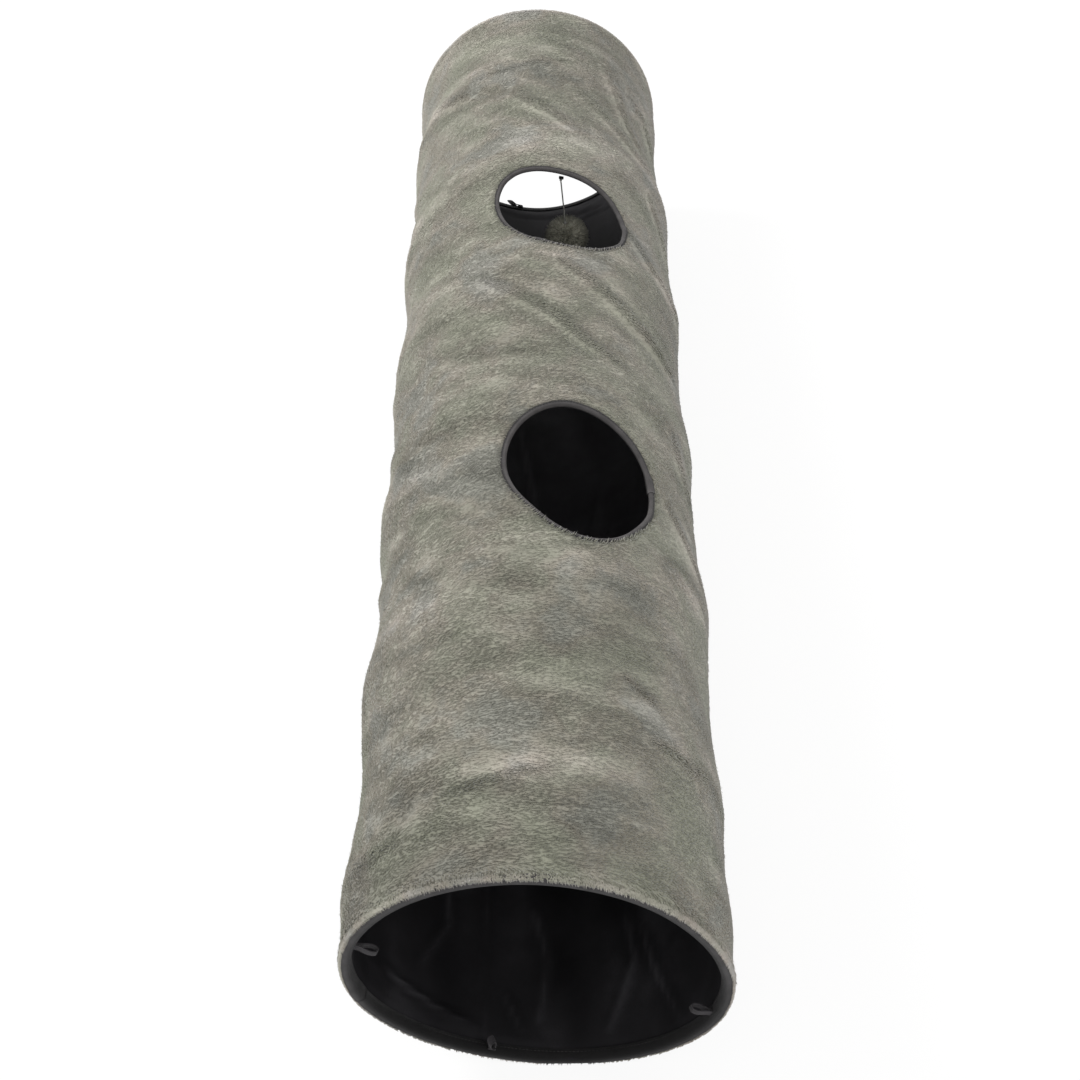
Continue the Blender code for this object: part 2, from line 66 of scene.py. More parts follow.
TOP = math.pi / 2
MM = 0.001

# The tunnel, as the CAD source has it
LENGTH = 1.200
RADIUS = 0.150
FACETS = 30
AXIS_HEIGHT = RADIUS * math.cos(math.pi / FACETS)
PITCH = 0.200
TURNS = 6
HELIX_START = math.radians(-102.0)
RING_SETBACK = 0.0031
RING_EASE = 0.015
TAB_ANGLE = math.radians(73.2)
TAB_ALONG = 0.8651

# Peek holes, as the CAD source has them. Each edge wanders from its oval, in mm, by an even part and by
# waves of one to four to the turn, as cosine and sine
HOLE_TO_WIRE = 0.0155
HOLE_SIZES = {
    "near_hole": dict(
        right=0.0555, share=1.52, width=0.1340, trim=0.006, tilt=math.radians(16.5),
        wander=(-1.1, (0.0, 1.0), (-2.2, -1.5), (-1.2, -3.2), (1.4, 1.4)),
    ),
    "far_hole": dict(
        right=0.0430, share=3.4625, width=0.1190, trim=0.015, tilt=math.radians(46.0),
        wander=(0.4, (0.9, 0.2), (-3.4, -3.2), (2.6, -1.2), (0.8, 0.4)),
    ),
}

# Radii and thicknesses of the layers, and how high the dense pile and its lip at a mouth stand
CLOTH = 0.1462
CLOTH_THICKNESS = 0.0008
PILE_BODY = 0.0009
PILE_LIP = 0.0014
LINING = 0.1404
LINING_THICKNESS = 0.0007
LINING_TURNED_UP = 0.1456

# How far out from a hole's edge the layers are cut, under its tape
HOLE_CUT = 3.0 * MM

# Lowest heights of the layers, so that nothing lies under the floor
COVER_LEAST = 1.2 * MM
BACK_LEAST = 2.2 * MM
LINING_LEAST = 5.0 * MM
LINING_EDGE_DROP = 2.6 * MM
LINING_BACK_RISE = 0.8 * MM
PILE_LEAST = 0.5 * MM
RIM_LEAST = 0.6 * MM

# Steps of the layers' grids, and their closer rows by a mouth
COVER_STEP = 5 * MM
COVER_ENDS = np.array((1.2, 2.2, 3.2, 4.4, 6.4, 9)) * MM
LINING_STEP = 4.9 * MM
LINING_ENDS = np.array((0.7, 1.1, 3, 6, 9)) * MM

# How much the cloth swells out, by place along
SWELL_PLACES = (0.0, 0.012, 0.05, 0.10, 0.20, 1.0, 1.2)
SWELL_SHARES = (1.014, 1.022, 1.038, 1.038, 1.028, 1.020, 1.006)

# The bulge on the right, and between which cosines and places it grows and ends
BULGE = 0.0036
BULGE_ROUND = (0.1, 0.9)
BULGE_STARTS = (0.12, 0.30)
BULGE_ENDS = (0.85, 1.05)

# How the cloth sags between two turns of the wire, and between which sines it leaves the floor
SAG = 0.0065
LINING_SAG = 0.0040
SAG_STARTS = 0.030
SAG_FULL = 0.090
RIDGE_SOFTNESS = 0.05
ALOFT = (-0.95, -0.20)

# The near mouth is swung about the upright, leans back and is out of round, all fading along the tunnel.
# Its waves are given as how many go to the turn, cosine and sine
SWING = 0.030
LEAN = 0.010
MOUTH_FADES = 0.20
MOUTH_ROUNDNESS = ((2, -0.0023, -0.0045), (3, -0.0016, -0.0015))
ROUNDNESS_FADES = 0.08

# Standing creases, in mm: half width, height, then points as degrees clockwise from the top, and along
CREASES = (
    (6.5, 2.9, (-18, 680), (-6, 657), (2, 641), (13.5, 616), (25, 585), (40, 560)),
    (7.2, 3.4, (12, 700), (24, 679), (33, 664), (45, 644), (61, 627), (74, 622)),
    (7.8, 2.9, (44, 800), (58, 757), (71, 745), (84, 735)),
    (8, 2, (-8, 1030), (12, 976), (28, 934)),
    (8.8, 2.6, (20, 1046), (41, 998), (54, 968), (70, 948)),
    (8.8, 2.5, (38, 1112), (55, 1020), (66, 975)),
    (7.8, 3.2, (52, 1090), (67, 1077), (80, 1035)),
    (5.9, 1.4, (-34, 1070), (-9, 1069), (8, 1081), (24, 1090)),
    (7.8, 1.9, (-54, 1076), (-28, 1048)),
    (10.5, -2, (-66, 78), (-46, 66), (-36, 70), (-30, 88)),
    (7.8, 1.9, (-60, 58), (-46, 52), (-36, 55)),
    (7.8, 1.4, (-26, 74), (-6, 86), (10, 96)),
    (7.8, 1.7, (38, 138), (52, 129), (66, 132)),
    (6.5, 1.2, (30, 196), (46, 168)),
    (10.5, -2, (-84, 640), (-68, 648), (-50, 674)),
    (9.1, -1.7, (-64, 750), (-42, 728), (-20, 712)),
    (7.8, -1.5, (-44, 1040), (-20, 1032), (-6, 1030)),
    (9.1, 2, (60, 520), (84, 440)),
    (9.1, 2.2, (60, 905), (84, 830)),
    (9.1, 1.9, (56, 420), (80, 350)),
    (10.4, 1.9, (-90, 560), (-46, 455)),
    (10.4, 2, (-90, 985), (-50, 905)),
    (10.4, 1.9, (-90, 385), (-60, 320)),
    (10.4, 2.2, (96, 360), (140, 240)),
    (10.4, 2.4, (96, 760), (150, 640)),
    (10.4, 2.2, (96, 1130), (150, 1020)),
    (10.4, 2.2, (-150, 420), (-96, 300)),
    (10.4, 2.2, (-150, 800), (-98, 690)),
    (10.4, 2, (-150, 1140), (-98, 1040)),
)

# The same of the lining, which stand into the tunnel, but with degrees from +X towards +Z
LINING_CREASES = (
    (2.2, 2, (-114, 12), (-115, 60), (-114.5, 130), (-116, 400), (-115, 800), (-116, 1190)),
    (2.8, 1.6, (-108, 60), (-104, 38), (-101, 22)),
    (3.2, 2.4, (-160, 42), (-152, 40), (-140, 34), (-128, 26), (-116, 20)),
    (4, 1.8, (-95, 30), (-92, 90), (-97, 140)),
    (4, 1.6, (-72, 20), (-60, 80), (-64, 130)),
    (3.4, 1.6, (-44, 16), (-52, 60), (-58, 110)),
    (4, 1.8, (-140, 60), (-128, 110), (-130, 170)),
    (4, 2, (-84, 330), (-76, 420), (-80, 520)),
    (4, 2, (-105, 500), (-96, 620), (-104, 760)),
    (5, 2, (-60, 420), (-72, 520), (-66, 640)),
    (4, 2, (-130, 860), (-112, 960), (-90, 1010)),
    (4, 2, (-60, 900), (-72, 1010), (-90, 1100)),
    (3, 2.2, (-122, 1182), (-108, 1179), (-92, 1178), (-70, 1172), (-50, 1160)),
    (3, 1.8, (-80, 1150), (-64, 1158), (-48, 1150)),
)

# The trough at a crease's foot: its share of the height, then its place and width in half widths
TROUGH = 0.35
TROUGH_AT = 2.2
TROUGH_WIDTH = 1.3
CREASE_REACH = 4.5


def smooth(low, high, value):
    """0 at low, 1 at high, and a smooth curve between."""
    t = np.clip((value - low) / (high - low), 0.0, 1.0)
    return t * t * (3 - 2 * t)


class Noise:
    """Smooth seeded noise on a plane, from -1 to 1, with cells of that size, turned by degrees."""

    SIDE = 64
    FAR = 1000

    def __init__(self, seed, width, height=None, degrees=0.0):
        self.grid = np.random.default_rng(seed).uniform(-1, 1, (self.SIDE, self.SIDE))
        self.cell = (width, height or width)
        turn = math.radians(degrees)
        self.turn = (math.cos(turn), math.sin(turn))

    def __call__(self, x, y):
        c, s = self.turn
        u = (x * c + y * s) / self.cell[0] + self.FAR
        v = (y * c - x * s) / self.cell[1] + self.FAR
        i, j = np.floor(u).astype(int), np.floor(v).astype(int)
        fu, fv = u - i, v - j
        fu, fv = fu * fu * (3 - 2 * fu), fv * fv * (3 - 2 * fv)
        a, b = i % self.SIDE, j % self.SIDE
        a2, b2 = (a + 1) % self.SIDE, (b + 1) % self.SIDE
        g = self.grid
        return (g[a, b] * (1 - fu) + g[a2, b] * fu) * (1 - fv) + (g[a, b2] * (1 - fu) + g[a2, b2] * fu) * fv


def layered(layers, x, y):
    """A sum of noises, each given with its size."""
    return sum(size * noise(x, y) for size, noise in layers)


# Folds and lumps of the wall, and puckers of the lining: how high each is, and its pattern
FOLD_DEGREES = -32.0
FOLDS = (
    (0.0012, Noise(11, 0.110, 0.030, FOLD_DEGREES)),
    (0.0005, Noise(12, 0.055, 0.013, FOLD_DEGREES)),
    (0.0008, Noise(13, 0.075)),
)
FOLDS_AT_MOUTH = 0.25
LINING_FOLDS = Noise(14, 0.030, 0.090, 12.0)
PUCKERS = ((0.0010, LINING_FOLDS), (0.0005, Noise(15, 0.011, 0.045, -8.0)))


def from_mouth(along):
    """Distance along from the nearer mouth."""
    return np.minimum(along, LENGTH - along)


def arc_of(angle):
    """Distance round the cloth from the top of the tunnel, clockwise seen from the near mouth."""
    return ((TOP - angle + math.pi) % TAU - math.pi) * RADIUS


def floor_arc(angle):
    """Distance round the tube from the line it rests on, towards the right-hand side."""
    return ((angle - TOP) % TAU - math.pi) * RADIUS


def held(along):
    """0 on the rings at the mouths, 1 where the cloth hangs free."""
    return smooth(SAG_STARTS, SAG_FULL, from_mouth(along))


def aloft(angle):
    """0 where the tunnel lies on the floor, 1 where the cloth hangs free."""
    return smooth(*ALOFT, np.sin(angle))


def bay_drop(angle, along):
    """How far the cloth has sagged between two turns of the wire, as a share."""
    share = (along / PITCH - (HELIX_START - angle) / TAU) % 1.0
    side = np.minimum(share, 1 - share)
    side = np.sqrt(side**2 + RIDGE_SOFTNESS**2) - RIDGE_SOFTNESS
    return 1 - (1 - 2 * side) ** 2


def run_of(lines, start, arc, along):
    """Height of a set of creases, and its rise along the arc, which counts from the angle start."""
    height, slope = np.zeros_like(arc), np.zeros_like(arc)
    for width, rise, *points in lines:
        width, rise = width * MM, rise * MM
        xs = (np.radians([degrees for degrees, _ in points]) - start) * RADIUS
        ys = np.array([place for _, place in points]) * MM
        lengths = np.hypot(np.diff(xs), np.diff(ys))
        reach = CREASE_REACH * width
        close = np.abs(arc - (xs.min() + xs.max()) / 2) < np.ptp(xs) / 2 + reach
        close &= np.abs(along - (ys.min() + ys.max()) / 2) < np.ptp(ys) / 2 + reach
        x, y = arc[close], along[close]
        nearest = np.full_like(x, np.inf)
        share, off_arc = np.zeros_like(x), np.zeros_like(x)
        past = 0.0
        for k, length in enumerate(lengths):
            dx, dy = xs[k + 1] - xs[k], ys[k + 1] - ys[k]
            t = np.clip(((x - xs[k]) * dx + (y - ys[k]) * dy) / length**2, 0, 1)
            ex, ey = x - xs[k] - t * dx, y - ys[k] - t * dy
            off = np.hypot(ex, ey)
            closer = off < nearest
            nearest = np.where(closer, off, nearest)
            share = np.where(closer, (past + t * length) / lengths.sum(), share)
            off_arc = np.where(closer, ex, off_arc)
            past += length
        tall = rise * np.sqrt(np.clip(1 - np.abs(2 * share - 1) ** 3, 0, 1))
        crest = tall * np.exp(-((nearest / width) ** 2))
        off_trough = (nearest - TROUGH_AT * width) / (TROUGH_WIDTH * width)
        height[close] += crest - TROUGH * tall * np.exp(-(off_trough**2))
        slope[close] -= 2 * off_arc / width**2 * crest
    return height, slope


def creases(angle, along):
    """Height of the plush's standing creases, and their slope round the tunnel."""
    return run_of(CREASES, 0.0, arc_of(angle), along)


def lining_creases(angle, along):
    """How far the lining's creases stand into the tunnel, and their slope round it."""
    return run_of(LINING_CREASES, -TOP, floor_arc(angle), along)


def folds(angle, along):
    """The folds and lumps of the wall."""
    by_place = FOLDS_AT_MOUTH + (1 - FOLDS_AT_MOUTH) * held(along)
    return layered(FOLDS, arc_of(angle), along) * aloft(angle) * by_place


def relief(angle, along):
    """How far the plush stands out from its tube, with its sag, creases and folds."""
    free = held(along) * aloft(angle)
    height, _ = creases(angle, along)
    return -SAG * free * bay_drop(angle, along) + height * aloft(angle) + folds(angle, along)


def at(radius, angle, along):
    """Points at that radius, angle and place along, with the cloth's swell and the near mouth's shape."""
    radius, angle, along = np.broadcast_arrays(radius, angle, along)
    waves = sum(c * np.cos(n * angle) + s * np.sin(n * angle) for n, c, s in MOUTH_ROUNDNESS)
    waves = waves * (1 - smooth(0.0, ROUNDNESS_FADES, along))
    bulge = BULGE * smooth(*BULGE_ROUND, np.cos(angle))
    bulge = bulge * smooth(*BULGE_STARTS, along) * (1 - smooth(*BULGE_ENDS, along))
    radius = np.interp(along, SWELL_PLACES, SWELL_SHARES) * (radius + waves) + bulge
    x, up = radius * np.cos(angle), radius * np.sin(angle)
    mouth = 1 - smooth(0.0, MOUTH_FADES, along)
    y = along - LENGTH / 2 + (LEAN * (up + RADIUS) - SWING * x) * mouth
    return np.stack([x, y, AXIS_HEIGHT + up], -1)


def on_cloth(height, angle, along):
    """Points at that height over the plush's cloth."""
    return at(CLOTH + height + relief(angle, along), angle, along)


def on_floor(points, least):
    """Lifts points that lie lower than least to that height."""
    points[..., 2] = np.maximum(points[..., 2], least)
    return points


class PeekHole:
    """An oval hole in the roof, on the unrolled cloth, where a place is a complex number (right, along)."""

    def __init__(self, right, share, width, trim, tilt, wander):
        self.angle = TOP - right / RADIUS
        self.along = PITCH * ((HELIX_START - self.angle) / TAU % 1.0 + share)
        self.half_length = (PITCH - trim) / 2 - HOLE_TO_WIRE
        self.half_width = width / 2
        self.tilt = complex(math.cos(tilt), math.sin(tilt))
        self.wander = wander

    def stray(self, turn):
        """How far the edge strays outwards from a true oval at that turn round it."""
        total, *waves = self.wander
        for k, (c, s) in enumerate(waves, 1):
            total = total + c * np.cos(k * turn) + s * np.sin(k * turn)
        return total * MM

    def edge(self, turn, out):
        """Angle and distance along of the hole's edge at that turn round it, moved outwards by out."""
        c, s = np.cos(turn), np.sin(turn)
        normal = self.half_length * s + 1j * self.half_width * c
        oval = self.half_width * s + 1j * self.half_length * c
        place = self.tilt * (oval + normal / np.abs(normal) * (out + self.stray(turn)))
        return self.angle - place.real / RADIUS, self.along + place.imag

    def reach(self, angle, along, out):
        """1 on the edge moved outwards by out, less inside it and more outside."""
        place = ((self.angle - angle) * RADIUS + 1j * (along - self.along)) / self.tilt
        out = out + self.stray(np.arctan2(place.real / self.half_width, place.imag / self.half_length))
        return np.hypot(place.imag / (self.half_length + out), place.real / (self.half_width + out))

    def beyond(self, angle, along):
        """Distance out from the edge, negative inside the hole, and far on the tunnel's other side."""
        from_middle = np.hypot((self.angle - angle) * RADIUS, along - self.along)
        reach = np.maximum(self.reach(angle, along, 0.0), 0.01)
        return np.where(np.cos(angle - self.angle) > 0, from_middle * (1 - 1 / reach), RADIUS)


HOLES = {name: PeekHole(**sizes) for name, sizes in HOLE_SIZES.items()}


def at_hole(angle, along, start, end):
    """1 within start of a hole's edge, falling to 0 at end."""
    return np.max([1 - smooth(start, end, hole.beyond(angle, along)) for hole in HOLES.values()], axis=0)


def eased(past):
    """The distance past a corner, eased round it and 0 before it."""
    largest = 50
    return RING_EASE * np.log1p(np.exp(np.minimum(past / RING_EASE, largest)))


def wire_along(unwound):
    """The place along of the wire's plain helix, eased into the flat rings at the mouths."""
    low, high = RING_SETBACK, LENGTH - RING_SETBACK
    return np.where(unwound > LENGTH / 2, high - eased(high - unwound), low + eased(unwound - low))


def from_wire(angle, along):
    """Distance along from the nearest turn of the wire."""
    start = PITCH * ((HELIX_START - angle) / TAU % 1.0)
    turns = [wire_along(start + PITCH * turn) for turn in range(-1, TURNS + 1)]
    return np.min([np.abs(along - place) for place in turns], axis=0)


# Meshes


def mesh_object(name, points, faces, material, attributes=None, uv=None):
    """An object of an array of points and arrays of faces, with values kept on its points."""
    groups = faces if isinstance(faces, (list, tuple)) else [faces]
    corners = np.concatenate([group.ravel() for group in groups]).astype(np.int32)
    sizes = np.concatenate([np.full(len(group), group.shape[1]) for group in groups])
    mesh = bpy.data.meshes.new(name)
    mesh.vertices.add(len(points))
    mesh.vertices.foreach_set("co", np.asarray(points, np.float32).ravel())
    mesh.loops.add(len(corners))
    mesh.loops.foreach_set("vertex_index", corners)
    mesh.polygons.add(len(sizes))
    mesh.polygons.foreach_set("loop_start", (np.cumsum(sizes) - sizes).astype(np.int32))
    mesh.update(calc_edges=True)
    mesh.shade_smooth()
    for key, values in (attributes or {}).items():
        mesh.attributes.new(key, "FLOAT", "POINT").data.foreach_set("value", np.asarray(values, np.float32))
    if uv is not None:
        layer = mesh.uv_layers.new(name="tape")
        layer.data.foreach_set("uv", np.asarray(uv, np.float32)[corners].ravel())
    mesh.materials.append(material)
    return linked(name, mesh)


def linked(name, mesh):
    """A new object of a mesh, in the scene."""
    obj = bpy.data.objects.new(name, mesh)
    bpy.context.scene.collection.objects.link(obj)
    return obj


def points_of(mesh):
    """A mesh's points, as rows."""
    points = np.empty(len(mesh.vertices) * 3, np.float32)
    mesh.vertices.foreach_get("co", points)
    return points.reshape(-1, 3)


def grid_faces(rows, columns, close_columns=False):
    """Quads of a grid of points, counted row by row."""
    i = np.arange(rows - 1)
    j = np.arange(columns if close_columns else columns - 1)
    i, j = np.meshgrid(i * columns, j, indexing="ij")
    i2, j2 = i + columns, (j + 1) % columns
    return np.stack([i + j, i2 + j, i2 + j2, i + j2], -1).reshape(-1, 4)


def repeated(groups, count, size):
    """A form's groups of faces, repeated for count forms of that many points."""
    offsets = (np.arange(count) * size)[:, None, None]
    return [(group[None] + offsets).reshape(-1, group.shape[1]) for group in groups]


def shell(outside, inside, quads):
    """Points and faces of a closed shell of two like skins, walled along every open edge."""
    count = len(outside)
    edges = np.concatenate([quads[:, [k, (k + 1) % 4]] for k in range(4)])
    keys = np.sort(edges, axis=1)
    _, where, uses = np.unique(keys, axis=0, return_index=True, return_counts=True)
    rim = edges[where[uses == 1]]
    walls = np.stack([rim[:, 1], rim[:, 0], rim[:, 0] + count, rim[:, 1] + count], -1)
    return np.concatenate([outside, inside]), np.concatenate([quads, quads[:, ::-1] + count, walls])


def folded(profile, thickness, lift):
    """A tape's skins laid along a profile, at each row raised by lift: rows of (place, height)."""
    run = np.gradient(profile, axis=0)
    run /= np.linalg.norm(run, axis=1)[:, None]
    normal = np.stack([run[:, 1], -run[:, 0]], -1)
    lift = lift[:, None, None]
    outside = profile + normal * lift
    inside = profile + normal * (lift - thickness)
    return np.concatenate([outside, inside[:, ::-1]], 1)


def strip_faces(rows, columns):
    """Quads of a strip whose rows run round it, with both ends closed."""
    half = np.arange(columns // 2 - 1)
    end = np.stack([half, columns - 1 - half, columns - 2 - half, half + 1], -1)
    round_it = grid_faces(rows, columns, close_columns=True)
    return np.concatenate([round_it, end, end[:, ::-1] + (rows - 1) * columns])


def cut_holes(angle, along, quads):
    """Leaves out the quads in each hole, and draws the points round it onto the hole's edge."""
    for hole in HOLES.values():
        near = np.cos(angle - hole.angle) > 0
        middle = hole.reach(angle[quads].mean(1), along[quads].mean(1), HOLE_CUT)
        inside = (middle < 1) & near[quads].all(1)
        kept = quads[~inside]
        rim = np.intersect1d(quads[inside].ravel(), kept.ravel())
        for _ in range(2):
            pull = 1 / hole.reach(angle[rim], along[rim], HOLE_CUT)
            angle[rim] = hole.angle + (angle[rim] - hole.angle) * pull
            along[rim] = hole.along + (along[rim] - hole.along) * pull
        quads = kept
    return quads


def tube_grid(step, ends):
    """Angles and places of a grid of points round the tunnel, and its quads, clear of the holes."""
    columns = round(TAU * RADIUS / step)
    free = LENGTH - 2 * (ends[-1] + step)
    middle = ends[-1] + step + np.linspace(0, free, round(free / step) + 1)
    places = np.concatenate([ends, middle, LENGTH - ends[::-1]])
    angle = TOP + math.pi - TAU * np.arange(columns) / columns
    along, angle = (grid.ravel() for grid in np.meshgrid(places, angle, indexing="ij"))
    quads = cut_holes(angle, along, grid_faces(len(places), columns, close_columns=True))
    return angle, along, quads


# Materials


class Graph:
    """A small way to write the nodes of a material or a world."""

    def __init__(self, owner):
        owner.use_nodes = True
        self.owner = owner
        self.tree = owner.node_tree

    def set(self, node, key, value):
        if isinstance(value, bpy.types.NodeSocket):
            self.tree.links.new(value, node.inputs[key])
        else:
            node.inputs[key].default_value = value

    def add(self, kind, sockets, output=0, **settings):
        """An output of a new node. sockets is {input: value or output to link}."""
        node = self.tree.nodes.new("ShaderNode" + kind)
        for key, value in settings.items():
            setattr(node, key, value)
        for key, value in sockets.items():
            self.set(node, key, value)
        return node.outputs[output] if node.outputs else None

    def maths(self, operation, *values):
        return self.add("Math", dict(enumerate(values)), operation=operation)

    def strayed(self, value, noise, size):
        """The value, moved by the noise by up to half the size."""
        return self.maths("ADD", value, self.maths("MULTIPLY", self.maths("SUBTRACT", noise, 0.5), size))

    def attribute(self, name):
        return self.add("Attribute", {}, "Fac", attribute_name=name)

    def place(self, scale=(1, 1, 1)):
        """The place on the object, scaled."""
        return self.add("Mapping", {"Vector": self.add("TexCoord", {}, "Object"), "Scale": scale})

    def tape_place(self, scale=(1, 1, 1)):
        """The place along and across a tape or tuft, scaled."""
        return self.add("Mapping", {"Vector": self.add("UVMap", {}, uv_map="tape"), "Scale": scale})

    def noise(self, place, scale, detail=2.0, roughness=0.5):
        sockets = {"Vector": place, "Scale": scale, "Detail": detail, "Roughness": roughness}
        return self.add("TexNoise", sockets, "Fac")

    def wave(self, place, direction, scale, distortion, detail=2.0):
        sockets = {"Vector": place, "Scale": scale, "Distortion": distortion, "Detail": detail}
        return self.add("TexWave", sockets, "Fac", bands_direction=direction)

    def ramp(self, value, *stops):
        """A colour ramp of (place, colour) stops."""
        output = self.add("ValToRGB", {"Fac": value}, "Color")
        elements = output.node.color_ramp.elements
        while len(elements) < len(stops):
            elements.new(0.5)
        for element, (place, colour) in zip(elements, stops):
            element.position = place
            element.color = (*linear(colour), 1.0)
        return output

    def grey(self, value):
        """A colour with the value in every channel."""
        return self.add("CombineColor", dict.fromkeys(("Red", "Green", "Blue"), value))

    def tinted(self, colour, tint):
        """A colour multiplied by another."""
        return self.add("Mix", {0: 1.0, 6: colour, 7: tint}, 2, data_type="RGBA", blend_type="MULTIPLY")

    def bump(self, height, strength, distance):
        return self.add("Bump", {"Height": height, "Strength": strength, "Distance": distance})

    def seen(self):
        """1 for what the camera, gloss and glass see of a surface, else 0."""
        rays = self.add("LightPath", {}).node.outputs
        camera_or_gloss = self.maths("MAXIMUM", rays["Is Camera Ray"], rays["Is Glossy Ray"])
        return self.maths("MAXIMUM", camera_or_gloss, rays["Is Transmission Ray"])

    def between(self, share, plain, seen):
        """plain where the share is 0, seen where it is 1."""
        return self.add("MapRange", {"Value": share, "To Min": plain, "To Max": seen}, "Result")

    def finish(self, **sockets):
        """The material, with those inputs of its shader set."""
        for key, value in sockets.items():
            self.set(self.tree.nodes["Principled BSDF"], key.replace("_", " "), value)
        return self.owner


def material_graph(name):
    """The nodes of a new material."""
    return Graph(bpy.data.materials.new(name))


def linear(colour):
    """A colour written as it looks on a screen, from 0 to 255, as the shader wants it."""
    return tuple((c / 255 / 12.92) if c <= 10 else ((c / 255 + 0.055) / 1.055) ** 2.4 for c in colour)


def plush_material(name, root_shade_share, streaked):
    """Short greige pile: painted shade at the roots, lighter where it is brushed up, drifting in hue, and
    with the painted light and shade that its tone carries.
    """
    g = material_graph(name)
    place = g.place()
    fine = g.noise(place, 520.0, 3.0, 0.6)
    value = g.strayed(g.attribute("tone"), fine, 0.35)
    if streaked:
        value = g.strayed(value, g.noise(g.tape_place((9.0, 0.8, 1.0)), 1.0), 0.30)
    colour = g.ramp(
        value,
        (0.0, (82, 82, 74)),
        (0.25, (126, 125, 115)),
        (0.5, (151, 150, 139)),
        (0.75, (173, 170, 160)),
        (1.0, (204, 199, 191)),
    )
    hue = g.ramp(
        g.noise(place, 14.0, 3.0, 0.6),
        (0.36, (251, 254, 246)),
        (0.46, (253, 253, 248)),
        (0.54, (255, 250, 247)),
        (0.63, (250, 251, 253)),
    )
    # Painted shade: the colour is darkened from each tuft's tip down to its root.
    depth = g.maths("MULTIPLY_ADD", g.attribute("tip"), 1 - root_shade_share, root_shade_share)
    return g.finish(
        Base_Color=g.tinted(g.tinted(colour, hue), g.grey(depth)),
        Roughness=0.9,
        Specular_IOR_Level=0.12,
        Sheen_Weight=0.40,
        Sheen_Roughness=0.45,
        Normal=g.bump(fine, 0.4, 0.5 * MM),
    )


def lining_material():
    """Thin black woven lining with a faint sheen, lightened and darkened by its tone, which holds painted
    light and shade.
    """
    g = material_graph("lining")
    place = g.place()
    weave = g.noise(place, 1800.0, 1.0)
    cloudy = g.noise(place, 14.0, 3.0, 0.55)
    value = g.maths("MULTIPLY_ADD", cloudy, 0.5, g.maths("MULTIPLY", weave, 0.2))
    value = g.maths("MULTIPLY_ADD", g.attribute("tone"), 0.5, g.maths("SUBTRACT", value, 0.1))
    colour = g.ramp(value, (0.2, (11, 11, 12)), (0.55, (36, 35, 37)), (0.9, (74, 73, 76)))
    weave = g.bump(weave, 0.35, 0.2 * MM)
    return g.finish(Base_Color=colour, Roughness=0.65, Specular_IOR_Level=0.08, Normal=weave)


def tape_material(name, dark, light):
    """Woven polyester tape: fine ribs across it, and its colour darkened by the tone on its points, which is
    painted shade at its edges, inside a hole or a mouth, and by the floor.
    """
    g = material_graph(name)
    place = g.tape_place()
    ribs = g.wave(place, "X", 500.0, 0.6, 1.0)
    warp = g.wave(place, "Y", 320.0, 0.4)
    height = g.maths("MULTIPLY_ADD", ribs, 0.7, g.maths("MULTIPLY", warp, 0.3))
    worn = g.noise(g.place(), 90.0, 3.0)
    value = g.maths("MULTIPLY_ADD", worn, 0.7, g.maths("MULTIPLY", height, 0.3))
    return g.finish(
        Base_Color=g.tinted(g.ramp(value, (0.25, dark), (0.75, light)), g.grey(g.attribute("tone"))),
        Roughness=0.82,
        Specular_IOR_Level=0.25,
        Sheen_Weight=0.08,
        Normal=g.bump(height, 0.5, 0.25 * MM),
    )


def thread_material():
    """Dark sewing thread."""
    g = material_graph("thread")
    twist = g.noise(g.place(), 2500.0, 1.0)
    colour = g.ramp(twist, (0.3, (26, 25, 26)), (0.7, (50, 48, 49)))
    return g.finish(Base_Color=colour, Roughness=0.6, Normal=g.bump(twist, 0.4, 0.1 * MM))


def cord_material():
    """Light grey elastic: a covering of fine thread wound round a rubber core."""
    g = material_graph("elastic_cord")
    wound = g.wave(g.place(), "DIAGONAL", 700.0, 1.0)
    colour = g.ramp(wound, (0.2, (118, 118, 114)), (0.8, (158, 158, 152)))
    return g.finish(Base_Color=colour, Roughness=0.8, Normal=g.bump(wound, 0.5, 0.15 * MM))


def steel_material():
    """Blued spring wire."""
    g = material_graph("spring_steel")
    drawn = g.noise(g.place(), 600.0)
    colour = g.ramp(drawn, (0.3, (120, 122, 128)), (0.7, (160, 161, 166)))
    return g.finish(Base_Color=colour, Metallic=1.0, Roughness=g.maths("MULTIPLY_ADD", drawn, 0.2, 0.25))


def vinyl_material():
    """Dipped black vinyl."""
    g = material_graph("vinyl_cap")
    dull = g.noise(g.place(), 500.0)
    colour = g.ramp(dull, (0.3, (20, 20, 20)), (0.7, (36, 36, 36)))
    return g.finish(Base_Color=colour, Roughness=0.45, Normal=g.bump(dull, 0.2, 0.1 * MM))


def fluff_material():
    """Brushed grey-olive yarn, with painted shade at its roots."""
    g = material_graph("pompom_fluff")
    value = g.strayed(g.attribute("tone"), g.noise(g.place(), 500.0), 0.4)
    colour = g.ramp(value, (0.0, (116, 116, 104)), (0.5, (170, 168, 152)), (1.0, (228, 223, 208)))
    # Painted shade: the yarn is darkened from its tips down to its roots.
    depth = g.maths("MULTIPLY_ADD", g.attribute("tip"), 0.75, 0.25)
    colour = g.tinted(colour, g.grey(depth))
    return g.finish(Base_Color=colour, Roughness=0.95, Sheen_Weight=0.2, Specular_IOR_Level=0.15)


# The stage

FLOOR_HALF = 8.0
FLOOR_PLAIN = 0.75
FLOOR_SHADED = 0.14
FLOOR_LIFT = 0.88
SKY = 0.68

# Each lamp's place, what it points at, its width in metres and its watts
LAMPS = {
    "key": ((-1.9, 0.9, 2.2), (0, 0, 0.1), 1.2, 52.0),
    "fill": ((1.8, -1.8, 2.4), (0, 0, 0.1), 2.0, 20.0),
    "back": ((0.5, 3.0, 2.0), (0, 0.4, 0.2), 1.4, 11.0),
}

